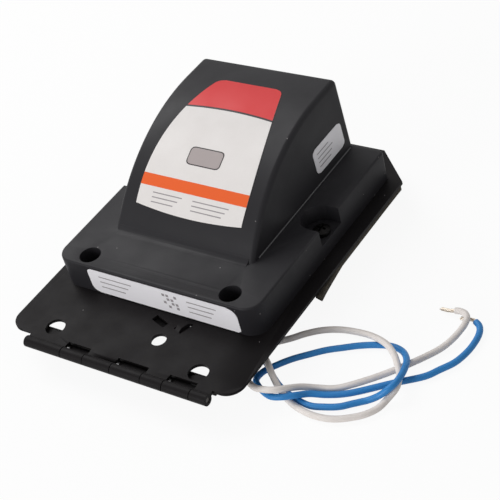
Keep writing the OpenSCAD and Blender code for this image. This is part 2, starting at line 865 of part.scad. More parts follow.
module lead_bushing() {
    // The rubber bush in the tub's front wall, with a lip outside
    color("#242426") place() difference() {
        translate([0, cavity_front, 0]) rotate([90, 0, 0]) {
            linear_extrude(tub_wall) bush_outline(bush_r);
            translate([0, 0, tub_wall]) linear_extrude(bush_lip_t) bush_outline(bush_r + bush_lip);
        }
        for (x = [blue_exit_x, white_exit_x])
            translate([x, cavity_front + cut, -lead_depth]) rotate([90, 0, 0])
                cylinder(h = tub_wall + bush_lip_t + 2 * cut, r = lead_r + lead_gap);
    }
}

module screw(p) {
    // A pan-head screw with a cross recess
    translate([p[0], p[1], 0]) {
        translate([0, 0, -plate_t - screw_out])
            cylinder(h = plate_t + screw_out + seat_h, r = screw_r);
        difference() {
            translate([0, 0, seat_h]) rotate_extrude() intersection() {
                square([head_d / 2, head_h]);
                translate([0, head_h - head_d]) circle(head_d);
            }
            for (a = [0, 90])
                translate([0, 0, seat_h + head_h]) rotate(a)
                    cube([recess_l, recess_w, head_h], center = true);
        }
    }
}

module housing_screws() {
    color("#8f8b86") place() for (p = screw_places) screw(p);
}

// Length over which a loose front end swings out, and the shape of its cut end
foam_settle = 23;
foam_end_w = 3.8;
foam_end_skew = 0.8;

module foam_strip(side) {
    // A side strip whose front end has come loose and stands out past the edge
    edge = plate_w / 2 - foam_inset;
    back = plate_l - chamfer_y - foam_inset;
    foam_front = plate_l - foam_reach;
    settle = foam_front + foam_settle;
    loose = plate_w / 2 + foam_stray;
    color("#8d8577") place() translate([0, 0, -plate_t - foam_t]) linear_extrude(foam_t)
        scale([side, 1])
            polygon([[loose, foam_front], [edge, settle], [edge, back], [edge - foam_w, back],
                [edge - foam_w, settle], [loose - foam_end_w, foam_front + foam_end_skew]]);
}

module foam_strip_left() {
    foam_strip(-1);
}

module foam_strip_right() {
    foam_strip(1);
}

module foam_strip_rear() {
    reach = plate_w / 2 - chamfer_x - foam_inset;
    color("#8d8577") place()
        translate([-reach, plate_l - foam_inset - foam_w, -plate_t - foam_t])
            cube([2 * reach, foam_w, foam_t]);
}

// Half-width of the front label at shares of its length, from foot to top
label_steps = [[1, 1], [0.865, 1], [0.71, 0.98], [0.624, 0.953], [0.496, 0.919],
    [0.369, 0.872], [0.255, 0.804], [0.156, 0.743], [0.064, 0.665], [0.01, 0.6], [-0.018, 0.5]];
function along_front(s) = arc_y - front_r * sin(s / front_r * 180 / PI);

module front_label() {
    color("#e4e0de") place() {
        right = [for (p = label_steps) [p[1] * front_label_w / 2, along_front(p[0] * front_label_l)]];
        left = [for (i = [len(right) - 1 : -1 : 0]) [-right[i][0], right[i][1]]];
        difference() {
            intersection() {
                translate([0, 0, arc_z]) linear_extrude(2 * front_r) polygon(concat(right, left));
                union() {
                    translate([-front_label_w, arc_y, arc_z]) rotate([0, 90, 0])
                        cylinder(h = 2 * front_label_w, r = front_r + label_t, $fn = 240);
                    translate([-front_label_w, arc_y, arc_z])
                        cube([2 * front_label_w, hump_flat, front_r + label_t]);
                }
            }
            translate([-front_label_w - cut, arc_y, arc_z]) rotate([0, 90, 0])
                cylinder(h = 2 * front_label_w + 2 * cut, r = front_r, $fn = 240);
            translate([-front_label_w - cut, arc_y - cut, 0])
                cube([2 * front_label_w + 2 * cut, hump_flat, hump_h]);
        }
    }
}

// Height of the strip label's foot over the plate, and its two round corners
strip_foot = 0.6;
strip_foot_r = 4;
strip_top_r = 5;

module strip_label() {
    strip_left = -flange_hw + strip_left_side;
    strip_right = flange_hw - strip_right_side;
    half_l = (strip_right - strip_left) / 2;
    color("#cbc9cd") place()
        translate([(strip_left + strip_right) / 2, flange_front, strip_foot]) rotate([90, 0, 0])
            linear_extrude(label_t) difference() {
                translate([-half_l, 0]) square([2 * half_l, strip_h]);
                corner_cut(-1, half_l, 0, 1, strip_foot_r);
                corner_cut(1, half_l, strip_h, -1, strip_top_r);
            }
}

// Place of the side label's middle in front of the housing's back and over the flange
side_label_y = 18.4;
side_label_z = 11.2;
side_label_r = 2.5;
stick_gap = 0.01;

module side_label() {
    mid_z = flange_h + side_label_z;
    color("#cbc9cd") place()
        translate([hump_hw_at(mid_z) + stick_gap, housing_back - side_label_y, mid_z])
            rotate([0, -lean_angle, 0]) rotate([90, 0, 90]) linear_extrude(label_t)
                offset_corners(side_label_l / 2, side_label_h / 2, side_label_r);
}

module offset_corners(half_l, half_h, r) {
    // A rectangle with four round corners, about its own middle
    translate([-half_l + r, -half_h]) square([2 * (half_l - r), 2 * half_h]);
    translate([-half_l, -half_h + r]) square([2 * half_l, 2 * (half_h - r)]);
    for (sx = [-1, 1], sy = [-1, 1])
        translate([sx * (half_l - r), sy * (half_h - r)]) circle(r);
}

// The leads' routes over the surface, in the object's own frame: X, Y and height
white_route = [[26.5, -29, 9.5], [30, -35, 9.4], [38, -39, 9.1], [47, -41.5, 8.7],
    [60, -51.5, 8.4], [65, -56, 7.6], [69.5, -59.5, 5.6], [74, -62, 3.4], [80, -64.5, 2],
    [87.5, -66, 1.5], [94.5, -66, 1.5], [100.5, -64.5, 1.5], [106, -61.5, 1.5],
    [110.5, -58, 1.5], [114, -53, 1.5], [116, -47, 2.6], [117.5, -42, 4.6], [115.5, -36, 4.7],
    [112, -31, 4.7], [107, -25.5, 4.8], [101, -21.5, 4.7], [93, -19, 4], [83.5, -17.5, 2],
    [75.5, -18.5, 1.5], [68.5, -21.5, 1.5], [62.5, -26, 1.5], [57.5, -31, 1.5],
    [47.5, -40, 1.8], [44, -47.5, 2.8], [45.5, -55.5, 4.9], [60.5, -65, 7], [67.5, -66.5, 8.6],
    [73, -65, 8.9], [76.5, -61, 7.3], [79.5, -56, 4.2], [84.5, -52.5, 2], [91, -50, 1.5],
    [96.5, -46, 1.5], [106, -36.5, 1.5], [114.5, -26, 1.5], [122, -15, 1.6],
    [125.2, -8, 2.3], [126.7, -1.5, 3.2], [126.8, 2.2, 3.5], [126, 5.3, 3.5], [123.9, 7.6, 3.2],
    [121, 8.6, 2.7], [118.8, 8.6, 2.2]];
blue_route = [[21.5, -29, 8], [25, -36, 6], [33, -41, 5.3], [44, -44, 5.2], [58, -50, 5],
    [63, -54, 4.1], [68, -57, 2.2], [73, -59, 1.5], [79.5, -61, 1.5], [86.5, -62, 1.5],
    [92.5, -60.5, 1.5], [98.5, -58, 1.5], [103, -54.5, 1.5], [107.5, -51, 1.5],
    [112, -48.5, 3.4], [116, -46, 6.6], [118, -41.5, 7.9], [117.5, -35, 7.4],
    [114.5, -27.5, 5.2], [109, -21.5, 2.6], [102.5, -19.5, 1.5], [96, -21, 1.5],
    [89, -24, 1.5], [83, -27.5, 1.5], [76.5, -31.5, 1.5], [70.5, -36.5, 1.5], [65, -41.5, 1.5],
    [60.5, -47, 1.5], [57, -52.5, 1.5], [57, -58, 1.8], [62.5, -62.5, 3], [70, -66, 4.9],
    [75.5, -65.5, 6], [80, -62.5, 5.6], [84, -57.5, 3.2], [89.5, -54.5, 1.7], [96, -51.5, 1.5],
    [102, -47.5, 1.5], [113, -38.5, 1.5], [123.5, -30.5, 1.5], [128, -24.5, 1.5],
    [132, -18.5, 1.5], [134.2, -11, 1.5], [134.6, -4, 1.5], [133.8, 1, 1.5], [132, 4.3, 1.5],
    [129.6, 6, 1.5]];
white_tip = [[115.5, 8.4, 1.5], [111.4, 8.8, 1]];
blue_tip = [[128.3, 6.7, 1.3], [126.5, 6.9, 1], [124.2, 6.6, 0.9], [122, 6.2, 0.9]];

function lead_path(x, route) = concat([[x, lead_inner_y - mid_y, tub_depth - lead_depth],
    [x, tub_front - mid_y - lead_straight, tub_depth - lead_depth]], route);
// The bared strands start just past the end of the insulation
function tip_path(route, tip) = let (end = route[len(route) - 1],
    way = unit(end - route[len(route) - 2])) concat([end + tip_gap * way], tip);

module lead(pts, r) {
    tube(pts, r, unit(cross(heading(pts, 0), [0.1, 0, 1])));
}

module white_lead() {
    color("#d8d0cd") lead(lead_path(white_exit_x, white_route), lead_r);
}

module white_lead_tip() {
    color("#c9c3b8") lead(tip_path(white_route, white_tip), strand_d / 2);
}

module blue_lead() {
    color("#2f79c4") lead(lead_path(blue_exit_x, blue_route), lead_r);
}

module blue_lead_tip() {
    color("#9b9a94") lead(tip_path(blue_route, blue_tip), strand_d / 2);
}

mounting_plate();
hinge_leaf();
hinge_pin();
housing();
potting_compound();
circuit_board();
ferrite_core();
winding_bobbin();
primary_winding();
secondary_winding_left();
secondary_winding_right();
filter_capacitor();
film_capacitor();
heat_sink();
switching_transistor();
terminal_insulator_left();
terminal_insulator_right();
terminal_stud_left();
terminal_stud_right();
contact_spring_left();
contact_spring_right();
lead_bushing();
housing_screws();
foam_strip_left();
foam_strip_right();
foam_strip_rear();
front_label();
strip_label();
side_label();
white_lead();
white_lead_tip();
blue_lead();
blue_lead_tip();
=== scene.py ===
"""Looks of a burner ignition transformer: a potted black housing on a hinged steel plate.

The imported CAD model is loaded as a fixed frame. Each sub-assembly is a class that holds its
sizes in millimetres, builds the meshes that CAD leaves plain and dresses the nodes that stay.
"""

import logging
import math
from dataclasses import dataclass, field
from enum import Enum
from typing import Any, Callable, Sequence

import bmesh
import bpy
from mathutils import Matrix, Vector


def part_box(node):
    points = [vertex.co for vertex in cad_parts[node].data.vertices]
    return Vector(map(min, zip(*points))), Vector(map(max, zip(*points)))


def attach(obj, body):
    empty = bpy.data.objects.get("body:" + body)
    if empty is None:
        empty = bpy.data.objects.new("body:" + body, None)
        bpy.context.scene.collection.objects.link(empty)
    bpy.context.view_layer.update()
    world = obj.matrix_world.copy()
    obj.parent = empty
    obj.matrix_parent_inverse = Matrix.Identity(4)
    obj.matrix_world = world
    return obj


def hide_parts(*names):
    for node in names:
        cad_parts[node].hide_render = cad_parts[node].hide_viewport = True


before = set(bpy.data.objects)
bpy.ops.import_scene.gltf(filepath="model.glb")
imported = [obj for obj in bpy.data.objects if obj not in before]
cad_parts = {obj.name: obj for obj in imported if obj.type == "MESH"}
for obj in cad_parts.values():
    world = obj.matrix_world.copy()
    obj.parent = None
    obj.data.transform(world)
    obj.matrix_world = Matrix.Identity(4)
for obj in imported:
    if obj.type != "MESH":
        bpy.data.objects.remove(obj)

MM = 0.001
BODY = "transformer"
LEAF = "leaf"
log = logging.getLogger("ignition_transformer")

# Points nearer than this, in metres, are one point
MERGE = 1e-6
# Dust lies as specks of a quarter of a millimetre, at most one in each cell of 5 mm
DUST_CELL_MM = 5.0
DUST_SPECK = 0.05
DUST_COLOUR = "#8b8888"
# How far roughness swings to each side of a finish's own, and the lowest that it may reach
GLOSS_SWING = 0.07
LEAST_ROUGHNESS = 0.04
# How hard the relief bites, and how much of the mottle the fine pattern takes up as well
RELIEF_STRENGTH = 0.6
FINE_SHARE = 0.5
# The stretch of a noise's height that is spread out from none to all
UPPER_STRETCH = {"From Min": 0.35, "From Max": 0.75}
MIDDLE_STRETCH = {"From Min": 0.3, "From Max": 0.7}
# Brushed lines are nearly seventeen times as long as they are wide
LINE_STRETCH = (0.06, 1.0, 1.0)
# How finely a quarter of a wire's round is cut
WIRE_ROUND = 5

Socket = Any
Tree = Any


def linear(hex_colour: str) -> tuple[float, float, float, float]:
    """Turns an sRGB hex colour into the linear colour that a shader takes.

    Args:
        hex_colour: Six hex digits after a hash sign.

    Returns:
        Linear red, green, blue and an alpha of one.
    """
    parts = [int(hex_colour[i : i + 2], 16) / 255 for i in (1, 3, 5)]
    red, green, blue = (
        p / 12.92 if p <= 0.04045 else ((p + 0.055) / 1.055) ** 2.4 for p in parts
    )
    return (red, green, blue, 1.0)


def add_node(
    tree: Tree,
    kind: str,
    settings: dict[str, Any] | None = None,
    inputs: dict[Any, Any] | None = None,
    links: dict[Any, Socket] | None = None,
) -> Any:
    """Adds one shader node with its settings and links.

    Args:
        tree: The node tree to add to.
        kind: The node's type name.
        settings: Attributes to set on the node.
        inputs: Values for inputs, by name or index.
        links: Output sockets to join to inputs, by name or index.

    Returns:
        The new node.
    """
    node = tree.nodes.new(kind)
    for name, value in (settings or {}).items():
        setattr(node, name, value)
    for key, value in (inputs or {}).items():
        node.inputs[key].default_value = value
    for key, socket in (links or {}).items():
        tree.links.new(socket, node.inputs[key])
    return node


class Pattern(Enum):
    """The fine structure that a surface shows close to."""

    GRAIN = "spark-eroded or cast grain"
    CELLS = "open foam cells"
    BRUSHED = "lines along one direction"
    STRANDED = "fine lines along and across, as on a woven or extruded sleeve"
    SMOOTH = "glazed, drawn or poured"


@dataclass(frozen=True)
class Finish:
    """One real material and how its surface was made.

    Attributes:
        name: The material's name.
        colour: Main sRGB colour.
        shade: sRGB colour of its darker, soiled or shaded parts.
        roughness: Mean roughness.
        slot: The material slot that this finish belongs to. Not used.
        metallic: One for bare metal.
        ior: Index of refraction of a non-metal.
        pattern: Fine structure.
        pattern_mm: Size of one grain, cell or line of the pattern.
        relief_mm: Height of the pattern's relief.
        mottle_mm: Size of the slow changes of colour.
        mottle: How much of the shade colour the slow changes bring in, from 0 to 1.
        coat: Weight of a clear coat.
        specular: Specular level, where a half is the plain level for the index of refraction.
        dust: Share of the dust's cells that hold one pale speck.
    """

    name: str
    colour: str
    shade: str
    roughness: float
    slot: str
    metallic: float = 0.0
    ior: float = 1.5
    pattern: Pattern = Pattern.SMOOTH
    pattern_mm: float = 0.5
    relief_mm: float = 0.0
    mottle_mm: float = 18.0
    mottle: float = 0.3
    coat: float = 0.0
    specular: float = 0.5
    dust: float = 0.0

    def build(self) -> bpy.types.Material:
        """Makes the material, or returns the one already made.

        Returns:
            The Blender material.
        """
        if self.name in bpy.data.materials:
            return bpy.data.materials[self.name]
        material = bpy.data.materials.new(self.name)
        material.use_nodes = True
        tree = material.node_tree
        tree.nodes.clear()
        place = add_node(tree, "ShaderNodeTexCoord").outputs["Object"]
        slow = add_node(
            tree,
            "ShaderNodeTexNoise",
            inputs={"Scale": 1 / (self.mottle_mm * MM), "Detail": 4.0, "Roughness": 0.6},
            links={"Vector": place},
        )
        fine = self._fine(tree, place)
        amount = add_node(
            tree,
            "ShaderNodeMapRange",
            inputs={**UPPER_STRETCH, "To Min": 0.0, "To Max": self.mottle},
            links={"Value": slow.outputs["Fac"]},
        )
        colour = add_node(
            tree,
            "ShaderNodeMix",
            settings={"data_type": "RGBA"},
            inputs={6: linear(self.colour), 7: linear(self.shade)},
            links={0: amount.outputs["Result"]},
        )
        tint = add_node(
            tree,
            "ShaderNodeMapRange",
            inputs={**MIDDLE_STRETCH, "To Min": 0.0, "To Max": self.mottle * FINE_SHARE},
            links={"Value": fine},
        )
        grained = add_node(
            tree,
            "ShaderNodeMix",
            settings={"data_type": "RGBA"},
            inputs={7: linear(self.shade)},
            links={0: tint.outputs["Result"], 6: colour.outputs[2]},
        )
        gloss = add_node(
            tree,
            "ShaderNodeMapRange",
            inputs={
                **MIDDLE_STRETCH,
                "To Min": max(LEAST_ROUGHNESS, self.roughness - GLOSS_SWING),
                "To Max": min(1.0, self.roughness + GLOSS_SWING),
            },
            links={"Value": slow.outputs["Fac"]},
        )
        bump = add_node(
            tree,
            "ShaderNodeBump",
            inputs={"Strength": RELIEF_STRENGTH, "Distance": self.relief_mm * MM},
            links={"Height": fine},
        )
        shader = add_node(
            tree,
            "ShaderNodeBsdfPrincipled",
            inputs={
                "Metallic": self.metallic,
                "IOR": self.ior,
                "Coat Weight": self.coat,
                "Specular IOR Level": self.specular,
            },
            links={"Roughness": gloss.outputs["Result"]},
        )
        surface = grained.outputs[2]
        if self.dust:
            surface = self._dusted(tree, place, surface)
        tree.links.new(surface, shader.inputs["Base Color"])
        if self.relief_mm:
            tree.links.new(bump.outputs["Normal"], shader.inputs["Normal"])
        add_node(tree, "ShaderNodeOutputMaterial", links={"Surface": shader.outputs["BSDF"]})
        material.diffuse_color = linear(self.colour)
        return material

    def _dusted(self, tree: Tree, place: Socket, colour: Socket) -> Socket:
        """Strews small pale specks of dust over a colour.

        Args:
            tree: The material's node tree.
            place: The object coordinates.
            colour: The clean surface's colour.

        Returns:
            The colour with its specks.
        """
        cells = add_node(
            tree,
            "ShaderNodeTexVoronoi",
            inputs={"Scale": 1 / (DUST_CELL_MM * MM), "Randomness": 1.0},
            links={"Vector": place},
        )
        draw = add_node(tree, "ShaderNodeSeparateColor", links={"Color": cells.outputs["Color"]})
        near = add_node(
            tree, "ShaderNodeMath", settings={"operation": "LESS_THAN"}, inputs={1: DUST_SPECK},
            links={0: cells.outputs["Distance"]},
        )
        chosen = add_node(
            tree, "ShaderNodeMath", settings={"operation": "LESS_THAN"}, inputs={1: self.dust},
            links={0: draw.outputs["Red"]},
        )
        speck = add_node(
            tree, "ShaderNodeMath", settings={"operation": "MULTIPLY"},
            links={0: near.outputs[0], 1: chosen.outputs[0]},
        )
        mixed = add_node(
            tree,
            "ShaderNodeMix",
            settings={"data_type": "RGBA"},
            inputs={7: linear(DUST_COLOUR)},
            links={0: speck.outputs[0], 6: colour},
        )
        return mixed.outputs[2]

    def _fine(self, tree: Tree, place: Socket) -> Socket:
        """Adds the fine pattern's texture.

        Args:
            tree: The material's node tree.
            place: The object coordinates.

        Returns:
            The pattern's height socket.
        """
        scale = 1 / (self.pattern_mm * MM)
        if self.pattern is Pattern.CELLS:
            cells = add_node(
                tree,
                "ShaderNodeTexVoronoi",
                settings={"feature": "F1"},
                inputs={"Scale": scale, "Randomness": 1.0},
                links={"Vector": place},
            )
            return cells.outputs["Distance"]
        if self.pattern is Pattern.BRUSHED:
            stretch = add_node(
                tree,
                "ShaderNodeMapping",
                inputs={"Scale": LINE_STRETCH},
                links={"Vector": place},
            )
            lines = add_node(
                tree,
                "ShaderNodeTexNoise",
                inputs={"Scale": scale, "Detail": 2.0},
                links={"Vector": stretch.outputs["Vector"]},
            )
            return lines.outputs["Fac"]
        if self.pattern is Pattern.STRANDED:
            rings = add_node(
                tree,
                "ShaderNodeTexWave",
                settings={"wave_type": "BANDS", "bands_direction": "DIAGONAL"},
                inputs={"Scale": scale / (2 * math.pi), "Distortion": 1.5, "Detail": 2.0},
                links={"Vector": place},
            )
            return rings.outputs["Fac"]
        grains = add_node(
            tree,
            "ShaderNodeTexNoise",
            inputs={"Scale": scale, "Detail": 3.0, "Roughness": 0.7},
            links={"Vector": place},
        )
        return grains.outputs["Fac"]


# Black PBT, injection moulded in a spark-eroded tool: dull, with a soft sheen on its curves
MOULDED_PBT = Finish(
    "moulded_pbt_black", "#201f22", "#18171a", 0.5, "housing_plastic",
    pattern=Pattern.GRAIN, pattern_mm=0.45, relief_mm=0.03, mottle_mm=26.0, mottle=0.35,
    specular=0.17, dust=0.2,
)
# The same moulding drawn lighter and glossier along the hump's foot: a painted highlight, the
# bright line on that edge
HIGHLIGHT_LINE_PBT = Finish(
    "painted_highlight_pbt_black", "#403f42", "#333235", 0.3, "housing_plastic",
    pattern=Pattern.GRAIN, pattern_mm=0.45, relief_mm=0.01, mottle_mm=9.0, mottle=0.4,
)
# Sheet steel with baked black enamel: smoother than the moulding, slightly warmer
ENAMELLED_STEEL = Finish(
    "enamelled_sheet_steel", "#1b191a", "#141213", 0.46, "plate_steel",
    pattern=Pattern.GRAIN, pattern_mm=0.9, relief_mm=0.006, mottle_mm=12.0, mottle=0.45,
    specular=0.06, dust=0.16,
)
# Drawn steel wire, coloured dark grey, with long fine draw marks
DRAWN_STEEL = Finish(
    "drawn_steel_wire", "#4a4846", "#2f2d2c", 0.4, "pin_steel", metallic=1.0,
    pattern=Pattern.BRUSHED, pattern_mm=0.2, relief_mm=0.004, mottle=0.4,
)
# Black-oxide screws: almost black with a dull metal glint on the rim
BLACK_OXIDE = Finish(
    "black_oxide_steel", "#1f1e1e", "#121111", 0.5, "screw_steel", metallic=1.0,
    pattern=Pattern.GRAIN, pattern_mm=0.3, relief_mm=0.006, mottle_mm=2.0, mottle=0.5,
)
# Cold-poured bituminous compound: glossy black with slow ripples where it skinned over
POURED_COMPOUND = Finish(
    "poured_bitumen_compound", "#17171a", "#0e0e10", 0.22, "compound",
    pattern=Pattern.GRAIN, pattern_mm=9.0, relief_mm=0.25, mottle_mm=20.0, mottle=0.5,
)
# Pressed glass-fibre laminate under green solder lacquer: half gloss over a faint weave
LACQUERED_LAMINATE = Finish(
    "lacquered_laminate", "#3f6b3a", "#2f5230", 0.35, "board",
    pattern=Pattern.STRANDED, pattern_mm=0.8, relief_mm=0.01, mottle=0.3,
)
# Pressed and sintered ferrite: charcoal, slightly chalky
SINTERED_FERRITE = Finish(
    "sintered_ferrite", "#37363a", "#232225", 0.6, "ferrite",
    pattern=Pattern.GRAIN, pattern_mm=0.6, relief_mm=0.02, mottle=0.4,
)
# Natural nylon bobbin: cream and waxy
NATURAL_NYLON = Finish(
    "natural_nylon", "#cfc6ae", "#b3a98e", 0.45, "bobbin_plastic", ior=1.53,
    pattern=Pattern.GRAIN, pattern_mm=0.8, relief_mm=0.01, mottle=0.25,
)
# Enamelled copper wire wound in layers: red-brown with one line to a turn
WOUND_COPPER = Finish(
    "wound_enamelled_copper", "#b5683a", "#7c3f20", 0.3, "copper", metallic=1.0,
    pattern=Pattern.STRANDED, pattern_mm=0.3, relief_mm=0.05, mottle=0.4, coat=0.4,
)
# Heat-shrunk vinyl sleeve of an electrolytic capacitor: blue-black and smooth
SHRUNK_SLEEVE = Finish(
    "shrunk_vinyl_sleeve", "#20242c", "#15181e", 0.3, "capacitor_sleeve",
    pattern=Pattern.GRAIN, pattern_mm=1.5, relief_mm=0.01, mottle=0.2,
)
# Moulded polyester case of a film capacitor: brick red, half gloss
POLYESTER_CASE = Finish(
    "polyester_case", "#b5342c", "#8c2620", 0.4, "film_case",
    pattern=Pattern.GRAIN, pattern_mm=0.5, relief_mm=0.01, mottle=0.2,
)
# Extruded aluminium left as it came from the die: pale, with long die lines
EXTRUDED_ALUMINIUM = Finish(
    "extruded_aluminium", "#c3c5c9", "#96989c", 0.38, "sink_aluminium", metallic=1.0,
    pattern=Pattern.BRUSHED, pattern_mm=0.3, relief_mm=0.008, mottle=0.3,
)
# Epoxy transistor case, transfer moulded: dull black
EPOXY_CASE = Finish(
    "epoxy_case", "#232326", "#161618", 0.5, "transistor_case",
    pattern=Pattern.GRAIN, pattern_mm=0.25, relief_mm=0.01, mottle=0.3,
)
# Glazed porcelain: cream under a clear glaze, with faint tea-coloured clouding
GLAZED_PORCELAIN = Finish(
    "glazed_porcelain", "#e7e1d2", "#cfc5ae", 0.14, "porcelain", ior=1.55,
    pattern=Pattern.GRAIN, pattern_mm=3.0, relief_mm=0.01, mottle=0.35, coat=0.5,
)
# Turned brass: yellow with fine tool lines and a faint tarnish
TURNED_BRASS = Finish(
    "turned_brass", "#c9a24a", "#8f6d2c", 0.28, "stud_brass", metallic=1.0,
    pattern=Pattern.BRUSHED, pattern_mm=0.15, relief_mm=0.005, mottle_mm=3.0, mottle=0.4,
)
# Drawn stainless spring wire: bright, nearly without lines
SPRING_WIRE = Finish(
    "stainless_spring_wire", "#bdbab4", "#86837d", 0.22, "spring_steel", metallic=1.0,
    pattern=Pattern.SMOOTH, pattern_mm=0.3, relief_mm=0.002, mottle_mm=2.0, mottle=0.4,
)
# Moulded rubber: matt black with a little bloom
MOULDED_RUBBER = Finish(
    "moulded_rubber", "#262628", "#1a1a1b", 0.7, "bush_rubber", ior=1.52,
    pattern=Pattern.GRAIN, pattern_mm=0.4, relief_mm=0.02, mottle=0.4,
)
# Open-cell sealing foam in dark grey-brown, darker than its own colour as painted shade from the
# plate above, with cells drawn at 0.8 mm so that they show
SHADE_DARKENED_FOAM = Finish(
    "open_cell_foam_painted_shade", "#4c463c", "#24211d", 0.95, "foam", ior=1.4,
    pattern=Pattern.CELLS, pattern_mm=0.8, relief_mm=0.5, mottle_mm=5.0, mottle=0.8,
)
# Extruded silicone-rubber lead insulation: off-white and matt, with slow soiling
WHITE_SILICONE = Finish(
    "white_silicone_lead", "#ebe5e1", "#dcd3cd", 0.55, "white_insulation", ior=1.43,
    pattern=Pattern.GRAIN, pattern_mm=0.9, relief_mm=0.02, mottle_mm=9.0, mottle=0.6,
)
# The same insulation pigmented a clear mid blue
BLUE_SILICONE = Finish(
    "blue_silicone_lead", "#2a83c8", "#2272b4", 0.5, "blue_insulation", ior=1.43,
    pattern=Pattern.GRAIN, pattern_mm=0.9, relief_mm=0.02, mottle_mm=9.0, mottle=0.6,
)
# Tinned copper strands: pale grey with the copper showing through at the cut
TINNED_STRAND = Finish(
    "tinned_copper_strand", "#c9c3b8", "#8e6c50", 0.35, "tinned_copper", metallic=1.0,
    pattern=Pattern.BRUSHED, pattern_mm=0.15, relief_mm=0.004, mottle_mm=1.5, mottle=0.4,
)
# Coated polyester label stock: white with a soft sheen
LABEL_STOCK = Finish(
    "coated_label_stock", "#e4e0de", "#dad5d2", 0.5, "label_white",
    pattern=Pattern.GRAIN, pattern_mm=0.6, relief_mm=0.004, mottle_mm=15.0, mottle=0.4,
    specular=0.3,
)
# Satin silver film for the two small labels: pale grey, a little glossier than the white stock
SATIN_LABEL = Finish(
    "satin_silver_label", "#f2f0f4", "#e8e6ea", 0.42, "label_silver",
    pattern=Pattern.GRAIN, pattern_mm=0.5, relief_mm=0.004, mottle_mm=15.0, mottle=0.4,
)
# Screen inks on the label: flat colour with a faint print grain
RED_INK = Finish(
    "screen_ink_red", "#d8393b", "#cd3336", 0.5, "label_white",
    pattern=Pattern.GRAIN, pattern_mm=0.4, relief_mm=0.003, mottle=0.3, specular=0.25,
)
ORANGE_INK = Finish(
    "screen_ink_orange", "#e8622a", "#de5a24", 0.5, "label_white",
    pattern=Pattern.GRAIN, pattern_mm=0.4, relief_mm=0.003, mottle=0.3, specular=0.25,
)
GREY_INK = Finish(
    "screen_ink_grey", "#a99f9e", "#a09695", 0.5, "label_white",
    pattern=Pattern.GRAIN, pattern_mm=0.4, relief_mm=0.003, mottle=0.3, specular=0.25,
)
BLACK_INK = Finish(
    "screen_ink_black", "#2d292b", "#252223", 0.5, "label_white",
    pattern=Pattern.GRAIN, pattern_mm=0.4, relief_mm=0.003, mottle=0.3, specular=0.25,
)
FINE_PRINT = Finish(
    "fine_print_grey", "#9b9698", "#8f8a8c", 0.5, "label_white",
    pattern=Pattern.GRAIN, pattern_mm=0.4, relief_mm=0.003, mottle=0.3, specular=0.25,
)


def new_object(name: str, mesh: Any) -> bpy.types.Object:
    """Links a new object to the scene.

    Args:
        name: The object's name.
        mesh: The mesh, curve, camera or lamp that it holds.

    Returns:
        The object.
    """
    made = bpy.data.objects.new(name, mesh)
    bpy.context.scene.collection.objects.link(made)
    return made


def dress(thing: bpy.types.Object, finish: Finish) -> None:
    """Gives a piece one finish in place of whatever it had."""
    thing.data.materials.clear()
    thing.data.materials.append(finish.build())


def smooth_by_angle(mesh: bpy.types.Mesh, degrees: float) -> None:
    """Shades a mesh smooth, with its edges above an angle kept sharp."""
    mesh.shade_smooth()
    mesh.set_sharp_from_angle(angle=math.radians(degrees))


def node_box_mm(node: str) -> tuple[Vector, Vector]:
    """The lowest and highest corner of a CAD node, in millimetres."""
    low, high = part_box(node)
    return low / MM, high / MM


def corner_inset(near: float, radius: float) -> float:
    """How far a round corner draws a side in.

    Args:
        near: Distance from the side's end.
        radius: The corner's radius.

    Returns:
        The inset, which is zero past the corner.
    """
    if near >= radius:
        return 0.0
    return radius - math.sqrt(max(0.0, radius * radius - (radius - near) ** 2))


def catmull_rom(points: Sequence[Sequence[float]], steps: int) -> list[Vector]:
    """Runs a smooth curve through points.

    Args:
        points: The points in order.
        steps: How many pieces each stretch is cut into.

    Returns:
        The curve's points, the first and the last included.
    """
    knots = [Vector(p) for p in points]
    knots = [2 * knots[0] - knots[1], *knots, 2 * knots[-1] - knots[-2]]
    curve = []
    for i in range(1, len(knots) - 2):
        before, here, there, after = knots[i - 1 : i + 3]
        for k in range(steps):
            t = k / steps
            curve.append(
                0.5
                * (
                    2 * here
                    + (there - before) * t
                    + (2 * before - 5 * here + 4 * there - after) * t**2
                    + (3 * here - before - 3 * there + after) * t**3
                )
            )
    curve.append(knots[-2])
    return curve


def round_wire(name: str, paths: Sequence[Sequence[Vector]], radius: float) -> bpy.types.Object:
    """Makes round wires along paths, as one curve object.

    Args:
        name: The object's name.
        paths: One run of points, in metres, for each wire.
        radius: The wire's radius in metres.

    Returns:
        The curve object.
    """
    curve = bpy.data.curves.new(name, "CURVE")
    curve.dimensions = "3D"
    curve.bevel_depth = radius
    curve.bevel_resolution = WIRE_ROUND
    curve.use_fill_caps = True
    curve.twist_mode = "MINIMUM"
    for path in paths:
        spline = curve.splines.new("POLY")
        spline.points.add(len(path) - 1)
        spline.use_smooth = True
        for knot, place in zip(spline.points, path):
            knot.co = (*place, 1.0)
    return new_object(name, curve)


